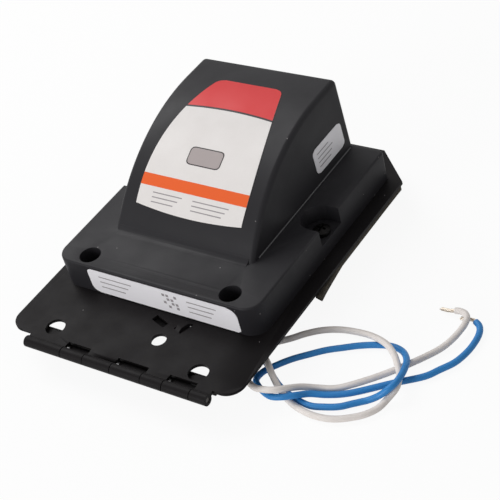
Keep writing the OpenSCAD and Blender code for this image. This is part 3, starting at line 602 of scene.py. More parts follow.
@dataclass
class Studio:
    """The camera, the floor and the lights.

    Attributes:
        eye_mm: Where the camera is.
        right: The direction to the right in the picture.
        up: The direction up in the picture.
        focal_px: The focal length in pixels of the frame.
        frame_px: The side of the square frame in pixels.
        centre_px: Where the camera's axis meets the frame, from its top left corner.
        sensor_mm: Width of the camera's sensor.
        clip: Nearest and farthest that the camera sees, in metres.
        aim: The point that the lamps face, in metres.
        floor_half: Half the floor's side, in metres.
        floor_drop: How far the floor lies under the object, in metres.
        floor_grey: The floor's own lightness.
        floor_glow: How much of plain white a ray that is seen takes from the floor.
        world_level: Strength of the surround as a light.
        lamps: Name, place in metres, side in metres and power in watts of each lamp.
    """

    eye_mm: tuple[float, float, float] = (363.58, -365.41, 421.43)
    right: tuple[float, float, float] = (0.82143, 0.52788, -0.21585)
    up: tuple[float, float, float] = (-0.20823, 0.62996, 0.74819)
    focal_px: float = 1408.7
    frame_px: float = 500.0
    centre_px: tuple[float, float] = (253.7, 247.8)
    sensor_mm: float = 36.0
    clip: tuple[float, float] = (0.01, 20.0)
    aim: tuple[float, float, float] = (0.02, 0.0, 0.02)
    floor_half: float = 6.0
    floor_drop: float = 0.0003
    floor_grey: float = 0.9
    floor_glow: float = 0.92
    world_level: float = 0.34
    lamps: tuple[tuple[str, tuple[float, float, float], float, float], ...] = (
        ("key_lamp", (-0.75, 0.25, 0.95), 0.7, 8.0),
        ("front_lamp", (-0.3, -1.1, 0.32), 0.6, 7.0),
    )

    def camera(self) -> bpy.types.Object:
        """Makes the camera and makes it the scene's own.

        Returns:
            The camera.
        """
        data = bpy.data.cameras.new("camera")
        data.sensor_fit = "HORIZONTAL"
        data.sensor_width = self.sensor_mm
        data.lens = self.focal_px / self.frame_px * self.sensor_mm
        data.shift_x = -(self.centre_px[0] / self.frame_px - 0.5)
        data.shift_y = self.centre_px[1] / self.frame_px - 0.5
        data.clip_start, data.clip_end = self.clip
        data.dof.use_dof = False
        made = new_object("camera", data)
        x = Vector(self.right).normalized()
        z = x.cross(Vector(self.up)).normalized()
        y = z.cross(x)
        turn = Matrix((x, y, z)).transposed().to_4x4()
        made.matrix_world = Matrix.Translation(Vector(self.eye_mm) * MM) @ turn
        bpy.context.scene.camera = made
        return made

    def lamp(self, name: str, place: Sequence[float], size: float, power: float) -> None:
        """Adds one soft lamp that faces the object.

        Args:
            name: The lamp's name.
            place: Where it is, in metres.
            size: The side of its square face, in metres.
            power: Its power in watts.
        """
        data = bpy.data.lights.new(name, "AREA")
        data.shape = "SQUARE"
        data.size = size
        data.energy = power
        made = new_object(name, data)
        made.location = place
        aim = Vector(self.aim) - Vector(place)
        made.rotation_euler = aim.to_track_quat("-Z", "Y").to_euler()

    def floor(self) -> None:
        """Lays the pale floor under the object and marks it as the stage."""
        mesh = bpy.data.meshes.new("floor")
        half = self.floor_half
        corners = [(-half, -half), (half, -half), (half, half), (-half, half)]
        mesh.from_pydata([(x, y, -self.floor_drop) for x, y in corners], [], [(0, 1, 2, 3)])
        made = new_object("floor", mesh)
        material = bpy.data.materials.new("studio_floor")
        material.use_nodes = True
        tree = material.node_tree
        tree.nodes.clear()
        seen = self._seen_directly(tree)
        grey = (self.floor_grey, self.floor_grey, self.floor_grey, 1)
        paint = add_node(tree, "ShaderNodeBsdfDiffuse", inputs={"Color": grey})
        glow = add_node(tree, "ShaderNodeEmission", inputs={"Color": (1, 1, 1, 1), "Strength": 1.0})
        part = add_node(
            tree, "ShaderNodeMath", settings={"operation": "MULTIPLY"},
            inputs={1: self.floor_glow}, links={0: seen},
        )
        mixed = add_node(
            tree, "ShaderNodeMixShader",
            links={0: part.outputs[0], 1: paint.outputs[0], 2: glow.outputs[0]},
        )
        add_node(tree, "ShaderNodeOutputMaterial", links={"Surface": mixed.outputs[0]})
        mesh.materials.append(material)

    def _seen_directly(self, tree: Tree) -> Socket:
        """Tells rays that are seen, in person or in a reflection, from rays that only light.

        Args:
            tree: The node tree to add to.

        Returns:
            A socket that is one for camera, glossy and transmission rays.
        """
        rays = add_node(tree, "ShaderNodeLightPath")
        first = add_node(
            tree, "ShaderNodeMath", settings={"operation": "MAXIMUM"},
            links={0: rays.outputs["Is Camera Ray"], 1: rays.outputs["Is Glossy Ray"]},
        )
        both = add_node(
            tree, "ShaderNodeMath", settings={"operation": "MAXIMUM"},
            links={0: first.outputs[0], 1: rays.outputs["Is Transmission Ray"]},
        )
        return both.outputs[0]

    def world(self) -> None:
        """Sets a white surround that lights the object softly."""
        world = bpy.data.worlds.new("studio")
        bpy.context.scene.world = world
        world.use_nodes = True
        tree = world.node_tree
        tree.nodes.clear()
        seen = self._seen_directly(tree)
        level = add_node(
            tree, "ShaderNodeMapRange", inputs={"To Min": self.world_level, "To Max": 1.0},
            links={"Value": seen},
        )
        glow = add_node(
            tree, "ShaderNodeBackground", inputs={"Color": (1, 1, 1, 1)},
            links={"Strength": level.outputs["Result"]},
        )
        add_node(tree, "ShaderNodeOutputWorld", links={"Surface": glow.outputs[0]})

    def build(self) -> None:
        """Sets up the whole studio."""
        bpy.context.scene.view_settings.view_transform = "Standard"
        self.camera()
        self.world()
        self.floor()
        for lamp in self.lamps:
            self.lamp(*lamp)


class Lead(Enum):
    """The two supply leads."""

    WHITE = "white"
    BLUE = "blue"


@dataclass
class LeadPair:
    """The two supply leads and their bared ends. Sizes and routes are in millimetres.

    Attributes:
        diameter: A lead's outer diameter.
        strand_diameter: One bared strand's diameter.
        strands: How many strands a lead has.
        lay_gap: Distance of the outer strands from the middle one, in strand diameters.
        lay_turn: How far the strands turn at each step, in radians.
        steps: Pieces in each stretch of a lead's curve.
        tip_steps: Pieces in each stretch of a bared end's curve.
        routes: The leads' middle lines.
        tips: The bared ends' middle lines.
    """

    diameter: float = 2.9
    strand_diameter: float = 0.56
    strands: int = 7
    lay_gap: float = 1.02
    lay_turn: float = 0.18
    steps: int = 6
    tip_steps: int = 8
    routes: dict[Lead, list[tuple[float, float, float]]] = field(
        default_factory=lambda: {
            Lead.WHITE: [
                (26, -15.075, 9.6), (26, -23.575, 9.6), (26.5, -29, 9.5), (30, -35, 9.4),
                (38, -39, 9.1), (47, -41.5, 8.7), (60, -51.5, 8.4), (65, -56, 7.6),
                (69.5, -59.5, 5.6), (74, -62, 3.4), (80, -64.5, 2), (87.5, -66, 1.5),
                (94.5, -66, 1.5), (100.5, -64.5, 1.5), (106, -61.5, 1.5), (110.5, -58, 1.5),
                (114, -53, 1.5), (116, -47, 2.6), (117.5, -42, 4.6), (115.5, -36, 4.7),
                (112, -31, 4.7), (107, -25.5, 4.8), (101, -21.5, 4.7), (93, -19, 4),
                (83.5, -17.5, 2), (75.5, -18.5, 1.5), (68.5, -21.5, 1.5), (62.5, -26, 1.5),
                (57.5, -31, 1.5), (47.5, -40, 1.8), (44, -47.5, 2.8), (45.5, -55.5, 4.9),
                (60.5, -65, 7), (67.5, -66.5, 8.6), (73, -65, 8.9), (76.5, -61, 7.3),
                (79.5, -56, 4.2), (84.5, -52.5, 2), (91, -50, 1.5), (96.5, -46, 1.5),
                (106, -36.5, 1.5), (114.5, -26, 1.5), (122, -15, 1.6), (125.2, -8, 2.3),
                (126.7, -1.5, 3.2), (126.8, 2.2, 3.5), (126, 5.3, 3.5), (123.9, 7.6, 3.2),
                (121, 8.6, 2.7), (118.8, 8.6, 2.2),
            ],
            Lead.BLUE: [
                (20, -15.075, 9.6), (20, -23.575, 9.6), (21.5, -29, 8), (25, -36, 6),
                (33, -41, 5.3), (44, -44, 5.2), (58, -50, 5), (63, -54, 4.1), (68, -57, 2.2),
                (73, -59, 1.5), (79.5, -61, 1.5), (86.5, -62, 1.5), (92.5, -60.5, 1.5),
                (98.5, -58, 1.5), (103, -54.5, 1.5), (107.5, -51, 1.5), (112, -48.5, 3.4),
                (116, -46, 6.6), (118, -41.5, 7.9), (117.5, -35, 7.4), (114.5, -27.5, 5.2),
                (109, -21.5, 2.6), (102.5, -19.5, 1.5), (96, -21, 1.5), (89, -24, 1.5),
                (83, -27.5, 1.5), (76.5, -31.5, 1.5), (70.5, -36.5, 1.5), (65, -41.5, 1.5),
                (60.5, -47, 1.5), (57, -52.5, 1.5), (57, -58, 1.8), (62.5, -62.5, 3),
                (70, -66, 4.9), (75.5, -65.5, 6), (80, -62.5, 5.6), (84, -57.5, 3.2),
                (89.5, -54.5, 1.7), (96, -51.5, 1.5), (102, -47.5, 1.5), (113, -38.5, 1.5),
                (123.5, -30.5, 1.5), (128, -24.5, 1.5), (132, -18.5, 1.5), (134.15, -11, 1.5),
                (134.55, -4, 1.5), (133.8, 1, 1.5), (132, 4.3, 1.5), (129.6, 6, 1.5),
            ],
        }
    )
    tips: dict[Lead, list[tuple[float, float, float]]] = field(
        default_factory=lambda: {
            Lead.WHITE: [(119.2, 8.6, 2.25), (115.5, 8.4, 1.5), (111.4, 8.8, 1)],
            Lead.BLUE: [
                (130, 5.75, 1.5), (128.3, 6.7, 1.3), (126.5, 6.9, 1.05), (124.2, 6.6, 1),
                (122, 6.2, 1),
            ],
        }
    )

    def strand_paths(self, tip: Sequence[Sequence[float]]) -> list[list[Vector]]:
        """Lays the strands of a bared end round each other.

        Args:
            tip: The bared end's own route.

        Returns:
            One run of points for each strand, in metres.
        """
        middle = catmull_rom(tip, self.tip_steps)
        spread = self.strand_diameter * self.lay_gap
        paths = [[p * MM for p in middle]]
        for s in range(self.strands - 1):
            path = []
            for i, place in enumerate(middle):
                ahead = middle[min(i + 1, len(middle) - 1)] - middle[max(i - 1, 0)]
                side = ahead.cross(Vector((0, 0, 1))).normalized()
                above = side.cross(ahead).normalized()
                turn = 2 * math.pi * s / (self.strands - 1) + self.lay_turn * i
                aside = side * math.cos(turn) + above * math.sin(turn)
                path.append((place + spread * aside) * MM)
            # The cut is ragged: some strands stop a step or two short
            paths.append(path[: len(path) - s % 3])
        return paths

    def build(self) -> None:
        finishes = {Lead.WHITE: WHITE_SILICONE, Lead.BLUE: BLUE_SILICONE}
        lowest = self.diameter / 2
        for lead, route in self.routes.items():
            path = [
                Vector((p.x, p.y, max(p.z, lowest))) * MM for p in catmull_rom(route, self.steps)
            ]
            cord = round_wire(f"{lead.value}_lead_cord", [path], lowest * MM)
            dress(cord, finishes[lead])
            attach(cord, BODY)
            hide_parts(f"{lead.value}_lead")
            ends = round_wire(
                f"{lead.value}_lead_strands",
                self.strand_paths(self.tips[lead]),
                self.strand_diameter / 2 * MM,
            )
            dress(ends, TINNED_STRAND)
            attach(ends, BODY)
            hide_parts(f"{lead.value}_lead_tip")


@dataclass
class SoftenedPart:
    """A copy of a rigid CAD node with its sharp edges eased as a tool or a press leaves them.

    Attributes:
        node: The CAD node that the copy stands for.
        body: The body that it rides on.
        finish: Its finish.
        edge_mm: Width of the eased edge.
        segments: How many facets the eased edge has.
        sharp_deg: Edges that bend by more than this are eased.
    """

    node: str
    body: str
    finish: Finish
    edge_mm: float
    segments: int = 2
    sharp_deg: float = 32.0

    def build(self) -> bpy.types.Object:
        """Makes the copy and hides the node.

        Returns:
            The copy.
        """
        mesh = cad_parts[self.node].data.copy()
        work = bmesh.new()
        work.from_mesh(mesh)
        bmesh.ops.remove_doubles(work, verts=work.verts, dist=MERGE)
        work.to_mesh(mesh)
        work.free()
        smooth_by_angle(mesh, self.sharp_deg)
        made = new_object(f"{self.node}_form", mesh)
        dress(made, self.finish)
        bevel = made.modifiers.new("eased_edges", "BEVEL")
        bevel.width = self.edge_mm * MM
        bevel.segments = self.segments
        bevel.limit_method = "ANGLE"
        bevel.angle_limit = math.radians(self.sharp_deg)
        bevel.harden_normals = True
        bevel.use_clamp_overlap = True
        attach(made, self.body)
        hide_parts(self.node)
        log.info("%s: eased copy of the node", made.name)
        return made


@dataclass
class PrintedField:
    """One field of ink on a label, drawn in the label's own across and down directions.

    Attributes:
        finish: The ink or the stock.
        left: The field's left edge at a given distance down.
        right: The field's right edge at a given distance down.
        top: Distance down of its top edge at a share from -1, left, to 1, right.
        bottom: Distance down of its bottom edge at such a share.
        lift_mm: Height over the surface under the label.
    """

    finish: Finish
    left: Callable[[float], float]
    right: Callable[[float], float]
    top: Callable[[float], float]
    bottom: Callable[[float], float]
    lift_mm: float


def bar(finish: Finish, x0: float, x1: float, s0: float, s1: float, lift: float) -> PrintedField:
    """A plain straight-sided field between two edges across and two edges down."""
    return PrintedField(finish, lambda s: x0, lambda s: x1, lambda u: s0, lambda u: s1, lift)


def rounded(
    finish: Finish, x0: float, x1: float, s0: float, s1: float, r: float, lift: float
) -> PrintedField:
    """A field with four round corners.

    Args:
        finish: The ink or the stock.
        x0: Its left edge.
        x1: Its right edge.
        s0: Distance down of its top edge.
        s1: Distance down of its bottom edge.
        r: Radius of its corners.
        lift: Height over the surface.

    Returns:
        The field.
    """

    def inset(s: float) -> float:
        """How far the nearer corner draws the side in at a distance down."""
        return corner_inset(min(s - s0, s1 - s), r)

    return PrintedField(
        finish,
        lambda s: x0 + inset(s),
        lambda s: x1 - inset(s),
        lambda u: s0,
        lambda u: s1,
        lift,
    )


@dataclass
class Label:
    """A stuck-on label made of printed fields laid over a surface.

    Attributes:
        name: The piece's name.
        node: The CAD node that it stands for.
        fields: The fields, the stock first.
        place: Turns across, down and height over the surface, in mm, into a point in metres.
        columns: How many strips each field is cut into across.
        rows: How many strips each field is cut into down.
        sharp_deg: Edges that bend by more than this stay sharp.
    """

    name: str
    node: str
    fields: list[PrintedField]
    place: Callable[[float, float, float], Vector]
    columns: int = 28
    rows: int = 26
    sharp_deg: float = 30.0

    def build(self) -> bpy.types.Object:
        """Makes the label as one mesh with a material for each ink.

        Returns:
            The label.
        """
        work = bmesh.new()
        inks: list[Finish] = []
        for printed in self.fields:
            if printed.finish not in inks:
                inks.append(printed.finish)
            rim = self._lay(work, printed, inks.index(printed.finish))
            if printed is self.fields[0]:
                self._skirt(work, rim)
        mesh = bpy.data.meshes.new(self.name)
        work.to_mesh(mesh)
        work.free()
        for ink in inks:
            mesh.materials.append(ink.build())
        smooth_by_angle(mesh, self.sharp_deg)
        made = new_object(self.name, mesh)
        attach(made, BODY)
        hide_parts(self.node)
        log.info("%s: %d printed fields", self.name, len(self.fields))
        return made

    def _skirt(self, work: bmesh.types.BMesh, rim: list[tuple[Any, float, float]]) -> None:
        """Closes the stock's cut edge down to the surface under it.

        Args:
            work: The mesh in the making.
            rim: The stock's outer points in order, with their places across and down.
        """
        feet = [work.verts.new(self.place(x, s, 0.0)) for _, x, s in rim]
        for i, (vert, _, _) in enumerate(rim):
            after = (i + 1) % len(rim)
            work.faces.new((vert, feet[i], feet[after], rim[after][0]))

    def _lay(
        self, work: bmesh.types.BMesh, printed: PrintedField, ink: int
    ) -> list[tuple[Any, float, float]]:
        """Lays one field over the surface.

        Args:
            work: The mesh in the making.
            printed: The field.
            ink: The index of its material.

        Returns:
            The field's outer points in order, each with its place across and down.
        """
        spots = []
        for i in range(self.rows + 1):
            row = []
            for j in range(self.columns + 1):
                u = 2 * j / self.columns - 1
                s = printed.top(u) + (printed.bottom(u) - printed.top(u)) * i / self.rows
                x = printed.left(s) + (printed.right(s) - printed.left(s)) * (u + 1) / 2
                row.append((work.verts.new(self.place(x, s, printed.lift_mm)), x, s))
            spots.append(row)
        for above, below in zip(spots, spots[1:]):
            for j in range(self.columns):
                corners = (above[j], below[j], below[j + 1], above[j + 1])
                work.faces.new([vert for vert, _, _ in corners]).material_index = ink
        left = [row[0] for row in spots]
        right = [row[-1] for row in reversed(spots)]
        return left + spots[-1][1:-1] + right + list(reversed(spots[0][1:-1]))


@dataclass(frozen=True)
class PrintRows:
    """Rows of plain grey bars where a label has small print, in millimetres.

    Attributes:
        top: Distance down of the first row.
        pitch: Distance from one row to the next.
        height: A bar's height.
        bars: Left end, right end and shortening from row to row, for each column of bars.
        count: How many rows there are.
    """

    top: float
    pitch: float
    height: float
    bars: tuple[tuple[float, float, float], ...]
    count: int = 3

    def fields(self, lift: float) -> list[PrintedField]:
        """Sets out the bars.

        Args:
            lift: Height over the surface.

        Returns:
            One printed field for each bar, row by row.
        """
        made = []
        for row in range(self.count):
            s = self.top + self.pitch * row
            for left, right, shorter in self.bars:
                made.append(bar(FINE_PRINT, left, right - shorter * row, s, s + self.height, lift))
        return made


@dataclass
class LabelSet:
    """The three stuck-on labels. Sizes are in millimetres, measured along the surface.

    Attributes:
        front_r: Radius of the hump's curved front.
        arc_y: Place of that curve's axis along the plate.
        arc_z: Height of that curve's axis.
        foot_half: Half the front label's width near its foot.
        pinch: How much narrower each side is at the head.
        pinch_power: How late the sides draw in.
        widest: Distance down at which the front label is widest.
        top_s: Distance down of its head, which lies on the hump's flat top.
        foot_s: Distance down of its foot's ends.
        foot_bulge: How much further down the foot's middle reaches.
        foot_ease: How far the foot's corners are drawn in.
        foot_ease_rate: How fast that fades above the foot.
        top_corner: Radius of its upper corners.
        head_s: Distance down of the red head's lower edge in the middle.
        head_drop: How much further down that edge is at its ends.
        rule: Thickness of the dark line under the head.
        band: Distances down of the orange band's edges.
        badge: Half width, top, foot and corner radius of the grey badge.
        badge_rule: Thickness of the badge's dark outline.
        badge_inner_r: Corner radius inside the outline.
        front_rows: The front label's small print.
        strip_corners: The strip label's radii, clockwise from its top left corner.
        strip_rows: The strip label's small print.
        dots: Left, top, pitch and side of the strip label's block of plain dots.
        dot_rows: How many rows and columns the block has.
        side_corner: The side label's corner radius.
        side_print: Top, pitch, height and left end of the side label's small print.
        side_ends: Right end of each row of that print.
        stock_lift: Thickness of a label's stock.
        ink_step: Height of one ink over what is under it.
    """

    front_r: float = 90.0
    arc_y: float = 52.425
    arc_z: float = -21.8
    foot_half: float = 29.6
    pinch: float = 12.0
    pinch_power: float = 1.9
    widest: float = 61.0
    top_s: float = -1.3
    foot_s: float = 70.6
    foot_bulge: float = 2.0
    foot_ease: float = 0.3
    foot_ease_rate: float = 0.2
    top_corner: float = 3.4
    head_s: float = 16.9
    head_drop: float = 1.5
    rule: float = 1.0
    band: tuple[float, float] = (56.0, 61.6)
    badge: tuple[float, float, float, float] = (9.4, 39.2, 48.3, 2.2)
    badge_rule: float = 0.5
    badge_inner_r: float = 1.9
    front_rows: PrintRows = PrintRows(64.0, 2.2, 0.5, ((-21.5, -5.0, 2.0), (1.0, 21.0, 1.5)))
    strip_corners: tuple[float, float, float, float] = (2.0, 5.0, 1.6, 4.0)
    strip_rows: PrintRows = PrintRows(3.2, 3.0, 0.6, ((-31.0, -12.0, 2.5), (19.0, 35.0, 2.0)))
    dots: tuple[float, float, float, float] = (5.5, 2.4, 2.2, 1.5)
    dot_rows: int = 4
    side_corner: float = 2.5
    side_print: tuple[float, float, float, float] = (3.0, 2.3, 0.5, 3.0)
    side_ends: tuple[float, ...] = (13.0, 16.0, 14.5, 13.0)
    stock_lift: float = 0.18
    ink_step: float = 0.02

    def half_width(self, s: float) -> float:
        """Half the front label's width.

        Args:
            s: Distance down the curved front.

        Returns:
            The half width there.
        """
        span = self.widest - self.top_s
        drawn_in = self.pinch * (max(0.0, self.widest - s) / span) ** self.pinch_power
        corner = corner_inset(s - self.top_s, self.top_corner)
        over_foot = self.foot_s + self.foot_bulge - s
        eased = max(0.0, self.foot_ease - over_foot * self.foot_ease_rate)
        return self.foot_half - drawn_in - corner - eased

    def on_front(self, x: float, s: float, lift: float) -> Vector:
        """A point over the hump's curved front, or over its flat top where s is below zero.

        Args:
            x: Distance across.
            s: Distance down from where the curve starts.
            lift: Height over the surface.

        Returns:
            The point in metres.
        """
        r = self.front_r + lift
        if s < 0:
            return Vector((x, self.arc_y - s, self.arc_z + r)) * MM
        turn = s / self.front_r
        return Vector((x, self.arc_y - r * math.sin(turn), self.arc_z + r * math.cos(turn))) * MM

    def banded(
        self, finish: Finish, top: Callable[[float], float], bottom: Callable[[float], float],
        lift: float,
    ) -> PrintedField:
        """A field that fills the front label's width between two edges.

        Args:
            finish: The ink or the stock.
            top: Its top edge.
            bottom: Its bottom edge.
            lift: Height over the surface.

        Returns:
            The field.
        """
        return PrintedField(
            finish,
            lambda s: -self.half_width(s),
            lambda s: self.half_width(s),
            top,
            bottom,
            lift,
        )

    def front(self) -> Label:
        """The front label: red head, white body, grey badge and orange band.

        Returns:
            The label, not yet built.
        """

        def crown(u: float) -> float:
            """The label's straight top edge."""
            return self.top_s

        def head(u: float) -> float:
            """The red head's lower edge."""
            return self.head_s + self.head_drop * u * u

        def foot(u: float) -> float:
            """The label's bulging foot."""
            return self.foot_s + self.foot_bulge * (1 - u * u)

        stock = self.stock_lift
        ink = stock + self.ink_step
        half, top, low, corner = self.badge
        line = self.badge_rule
        fields = [
            self.banded(LABEL_STOCK, crown, foot, stock),
            self.banded(RED_INK, crown, head, ink),
            self.banded(BLACK_INK, head, lambda u: head(u) + self.rule, ink),
            self.banded(ORANGE_INK, lambda u: self.band[0], lambda u: self.band[1], ink),
            rounded(BLACK_INK, -half, half, top, low, corner, ink),
            rounded(
                GREY_INK, line - half, half - line, top + line, low - line, self.badge_inner_r,
                ink + self.ink_step,
            ),
            *self.front_rows.fields(ink),
        ]
        return Label("front_label_print", "front_label", fields, self.on_front)

    def strip(self) -> Label:
        """The long strip label on the flange's front face.

        Returns:
            The label, not yet built.
        """
        low, high = node_box_mm("strip_label")
        tall = high.z - low.z
        top_left, top_right, foot_right, foot_left = self.strip_corners

        def on_face(x: float, s: float, lift: float) -> Vector:
            """A point over the flange's front face."""
            return Vector((x, high.y - lift, high.z - s)) * MM

        def left_edge(s: float) -> float:
            """The left edge, with its two round corners."""
            return low.x + corner_inset(s, top_left) + corner_inset(tall - s, foot_left)

        def right_edge(s: float) -> float:
            """The right edge, with its two round corners."""
            return high.x - corner_inset(s, top_right) - corner_inset(tall - s, foot_right)

        ink = self.stock_lift + self.ink_step
        fields = [
            PrintedField(
                SATIN_LABEL, left_edge, right_edge, lambda u: 0.0, lambda u: tall, self.stock_lift
            ),
            *self.strip_rows.fields(ink),
        ]
        left, top, pitch, side = self.dots
        for row in range(self.dot_rows):
            for column in range(self.dot_rows):
                # A fixed scatter that says nothing
                if (row * 3 + column * 2) % 5 < 3:
                    x = left + pitch * column
                    s = top + pitch * row
                    fields.append(bar(FINE_PRINT, x, x + side, s, s + side, ink))
        return Label("strip_label_print", "strip_label", fields, on_face, columns=40, rows=14)

    def side(self) -> Label:
        """The small label on the hump's right side.

        Returns:
            The label, not yet built.
        """
        low, high = node_box_mm("side_label")
        long = high.y - low.y
        tall = high.z - low.z
        lean = (high.x - low.x - self.stock_lift) / tall

        def on_side(x: float, s: float, lift: float) -> Vector:
            """A point over the hump's leaning side."""
            return Vector((low.x + lean * s + lift, low.y + x, high.z - s)) * MM

        stock = self.stock_lift + self.ink_step
        ink = stock + self.ink_step
        top, pitch, height, left = self.side_print
        fields = [rounded(SATIN_LABEL, 0.0, long, 0.0, tall, self.side_corner, stock)]
        for row, right in enumerate(self.side_ends):
            s = top + pitch * row
            fields.append(bar(FINE_PRINT, left, right, s, s + height, ink))
        return Label("side_label_print", "side_label", fields, on_side, columns=16, rows=14)

    def build(self) -> None:
        """Makes all three labels."""
        for label in (self.front(), self.strip(), self.side()):
            label.build()


@dataclass
class SealingStrips:
    """The foam strips under the plate: soft-edged, and loose at the side strips' front ends.

    Attributes:
        rounding_mm: Width of the soft edges.
        droop_mm: How far a loose end hangs down.
        droop_run_mm: Length of the loose end.
        cuts: How often each edge is cut, so that a strip can bend.
        smooth_deg: Edges that bend by more than this stay sharp.
        soft_deg: Edges that bend by more than this are softened.
        segments: How many facets a soft edge has.
    """

    rounding_mm: float = 0.5
    droop_mm: float = 0.9
    droop_run_mm: float = 24.0
    cuts: int = 3
    smooth_deg: float = 40.0
    soft_deg: float = 50.0
    segments: int = 2

    def build(self) -> None:
        """Makes a soft copy of each strip."""
        for node in ("foam_strip_left", "foam_strip_right", "foam_strip_rear"):
            low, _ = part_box(node)
            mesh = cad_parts[node].data.copy()
            work = bmesh.new()
            work.from_mesh(mesh)
            bmesh.ops.remove_doubles(work, verts=work.verts, dist=MERGE)
            bmesh.ops.triangulate(work, faces=work.faces)
            bmesh.ops.subdivide_edges(
                work, edges=work.edges, cuts=self.cuts, use_grid_fill=True
            )
            if node != "foam_strip_rear":
                for vert in work.verts:
                    share = 1 - (vert.co.y - low.y) / (self.droop_run_mm * MM)
                    vert.co.z -= self.droop_mm * MM * max(0.0, share) ** 2
            work.to_mesh(mesh)
            work.free()
            smooth_by_angle(mesh, self.smooth_deg)
            made = new_object(f"{node}_foam", mesh)
            # The foam's dark colour is painted shade from the plate above
            dress(made, SHADE_DARKENED_FOAM)
            bevel = made.modifiers.new("soft_edges", "BEVEL")
            bevel.width = self.rounding_mm * MM
            bevel.segments = self.segments
            bevel.limit_method = "ANGLE"
            bevel.angle_limit = math.radians(self.soft_deg)
            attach(made, BODY)
            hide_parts(node)
            log.info("%s: foam", made.name)


@dataclass
class Terminals:
    """The two high-voltage terminals under the housing, with their conical contact springs.

    Attributes:
        turns: Turns of each spring.
        tip_share: The spring's radius at its tip as a share of that at its base.
        wire_mm: The wire's diameter.
        steps: Points to a turn.
    """

    turns: float = 3.0
    tip_share: float = 0.42
    wire_mm: float = 0.9
    steps: int = 40

    def spring(self, node: str, side: int) -> None:
        """Winds one round conical spring in the place of its plain node.

        Args:
            node: The spring's CAD node.
            side: Minus one for the left spring, one for the right.
        """
        low, high = node_box_mm(node)
        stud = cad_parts[node.replace("contact_spring", "terminal_stud")]
        centre = sum((Vector(c) for c in stud.bound_box), Vector()) / 8 / MM
        r_wire = self.wire_mm / 2
        base = max(high.x - centre.x, centre.x - low.x) - r_wire
        tip = base * self.tip_share
        count = int(self.steps * self.turns)
        path = []
        for i in range(count + 1):
            share = i / count
            turn = side * 2 * math.pi * self.turns * share
            r = base + (tip - base) * share
            z = high.z - r_wire + (low.z - high.z + self.wire_mm) * share
            x = centre.x + r * math.cos(turn)
            y = centre.y + r * math.sin(turn)
            path.append(Vector((x, y, z)) * MM)
        coil = round_wire(f"{node}_coil", [path], r_wire * MM)
        dress(coil, SPRING_WIRE)
        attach(coil, BODY)
        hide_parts(node)
        log.info("%s: %.0f turns", coil.name, self.turns)

    def build(self) -> None:
        """Dresses the studs and insulators and winds the springs."""
        for side, name in ((-1, "left"), (1, "right")):
            dress(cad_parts[f"terminal_insulator_{name}"], GLAZED_PORCELAIN)
            dress(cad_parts[f"terminal_stud_{name}"], TURNED_BRASS)
            self.spring(f"contact_spring_{name}", side)


@dataclass
class PlateAndHinge:
    """The enamelled base plate, its rolled hinge and the leaf.

    Attributes:
        edge_mm: Width of the eased edges.
        cuts: Middle and turn in degrees of the plate's slot and of its lanced strap.
        strap_mm: Length, width, thickness and sag of the straps pressed down under them.
        strap_gap: Gap between a strap's ends and the plate.
        strap_power: How square a strap's sag is.
        strap_steps: Pieces in a strap's length.
        strap_deg: A strap's edges that bend by more than this stay sharp.
        under_mm: Height of the plate's underside.
    """

    edge_mm: float = 0.22
    cuts: tuple[tuple[float, float, float], ...] = (
        (5.2, -52.6, -19.0),
        (17.6, -51.6, -21.0),
    )
    strap_mm: tuple[float, float, float, float] = (12.4, 6.6, 0.8, 1.7)
    strap_gap: float = 0.02
    strap_power: float = 1.4
    strap_steps: int = 20
    strap_deg: float = 35.0
    under_mm: float = 13.5

    def pressed_strap(self, name: str, x: float, y: float, degrees: float) -> None:
        """Makes a strap of sheet that is pressed down under a cut, so no light comes up. Under the
        slot it is a dark sheet put there as painted shade.

        Args:
            name: The piece's name.
            x: Middle of the cut across the plate.
            y: Middle of the cut along the plate.
            degrees: The cut's turn.
        """
        long, wide, thick, sag = self.strap_mm
        turn = Matrix.Rotation(math.radians(degrees), 3, "Z")
        middle = Vector((x, y, self.under_mm))
        work = bmesh.new()
        rings = []
        for i in range(self.strap_steps + 1):
            share = 2 * i / self.strap_steps - 1
            top = -self.strap_gap - sag * (1 - share**2) ** self.strap_power
            foot = top - thick
            ring = []
            for aside, up in ((-0.5, top), (0.5, top), (0.5, foot), (-0.5, foot)):
                place = middle + turn @ Vector((share * long / 2, aside * wide, up))
                ring.append(work.verts.new(place * MM))
            rings.append(ring)
        for here, there in zip(rings, rings[1:]):
            for k in range(4):
                work.faces.new((here[k], there[k], there[(k + 1) % 4], here[(k + 1) % 4]))
        work.faces.new(list(reversed(rings[0])))
        work.faces.new(rings[-1])
        bmesh.ops.recalc_face_normals(work, faces=work.faces)
        mesh = bpy.data.meshes.new(name)
        work.to_mesh(mesh)
        work.free()
        smooth_by_angle(mesh, self.strap_deg)
        made = new_object(name, mesh)
        dress(made, ENAMELLED_STEEL)
        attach(made, BODY)
        log.info("%s: under its cut", made.name)

    def build(self) -> None:
        """Makes the plate, the leaf and the straps, and dresses the pin."""
        # The slot's strap is a dark sheet put under the slot as painted shade
        for name, cut in zip(("slot_shade_strap", "lance_strap"), self.cuts):
            self.pressed_strap(name, *cut)
        SoftenedPart("mounting_plate", BODY, ENAMELLED_STEEL, self.edge_mm).build()
        SoftenedPart("hinge_leaf", LEAF, ENAMELLED_STEEL, self.edge_mm).build()
        dress(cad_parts["hinge_pin"], DRAWN_STEEL)


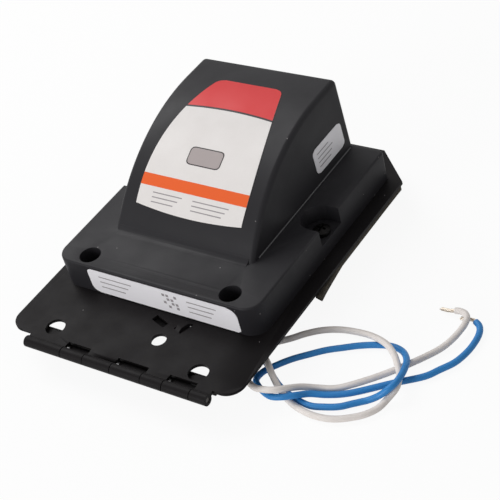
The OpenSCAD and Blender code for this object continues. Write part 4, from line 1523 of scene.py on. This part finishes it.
@dataclass
class Housing:
    """The moulded housing with its screws and its bush.

    Attributes:
        edge_mm: Width of the housing's eased edges.
        screw_edge_mm: Width of the screws' eased edges.
        bead_mm: Radius of the beads along the hump's foot, which carry the painted highlight line.
        bead_steps: Pieces in a bead's length.
        foot_x: Distance of the beads from the middle line.
        foot_y: Front and back end of the beads.
        foot_z: Height of the beads' middle.
    """

    edge_mm: float = 0.5
    screw_edge_mm: float = 0.12
    bead_mm: float = 0.42
    bead_steps: int = 24
    foot_x: float = 39.1
    foot_y: tuple[float, float] = (-16.0, 66.0)
    foot_z: float = 30.85

    def foot_beads(self) -> None:
        """Runs a fine, lighter bead along each side where the hump meets the flange, as a painted
        highlight line.
        """
        start, end = self.foot_y
        runs = []
        for side in (-1, 1):
            run = []
            for i in range(self.bead_steps + 1):
                y = start + (end - start) * i / self.bead_steps
                run.append(Vector((side * self.foot_x, y, self.foot_z)) * MM)
            runs.append(run)
        beads = round_wire("hump_foot_highlight_beads", runs, self.bead_mm * MM)
        # The beads' lighter colour is a painted highlight
        dress(beads, HIGHLIGHT_LINE_PBT)
        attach(beads, BODY)
        log.info("%s: two runs of %.0f mm", beads.name, end - start)

    def build(self) -> None:
        """Makes the housing, its painted highlight beads and the screws, and dresses the bush."""
        self.foot_beads()
        SoftenedPart("housing", BODY, MOULDED_PBT, self.edge_mm, segments=3).build()
        SoftenedPart("housing_screws", BODY, BLACK_OXIDE, self.screw_edge_mm).build()
        dress(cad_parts["lead_bushing"], MOULDED_RUBBER)


@dataclass
class Electronics:
    """The compound and what it hides: the board, its parts and the high-voltage transformer.

    Attributes:
        finishes: The finish of each node.
    """

    finishes: dict[str, Finish] = field(
        default_factory=lambda: {
            "potting_compound": POURED_COMPOUND,
            "circuit_board": LACQUERED_LAMINATE,
            "ferrite_core": SINTERED_FERRITE,
            "winding_bobbin": NATURAL_NYLON,
            "primary_winding": WOUND_COPPER,
            "secondary_winding_left": WOUND_COPPER,
            "secondary_winding_right": WOUND_COPPER,
            "filter_capacitor": SHRUNK_SLEEVE,
            "film_capacitor": POLYESTER_CASE,
            "heat_sink": EXTRUDED_ALUMINIUM,
            "switching_transistor": EPOXY_CASE,
        }
    )

    def build(self) -> None:
        """Dresses every node of it."""
        for node, finish in self.finishes.items():
            dress(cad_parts[node], finish)
            log.info("%s: %s", node, finish.name)


def main() -> None:
    """Builds the studio and every sub-assembly in order."""
    logging.basicConfig(level=logging.INFO, format="%(name)s %(message)s")
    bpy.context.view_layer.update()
    for assembly in (
        Studio(),
        LeadPair(),
        Housing(),
        LabelSet(),
        PlateAndHinge(),
        SealingStrips(),
        Terminals(),
        Electronics(),
    ):
        assembly.build()
        log.info("%s built", type(assembly).__name__)


if __name__ == "__main__":
    main()
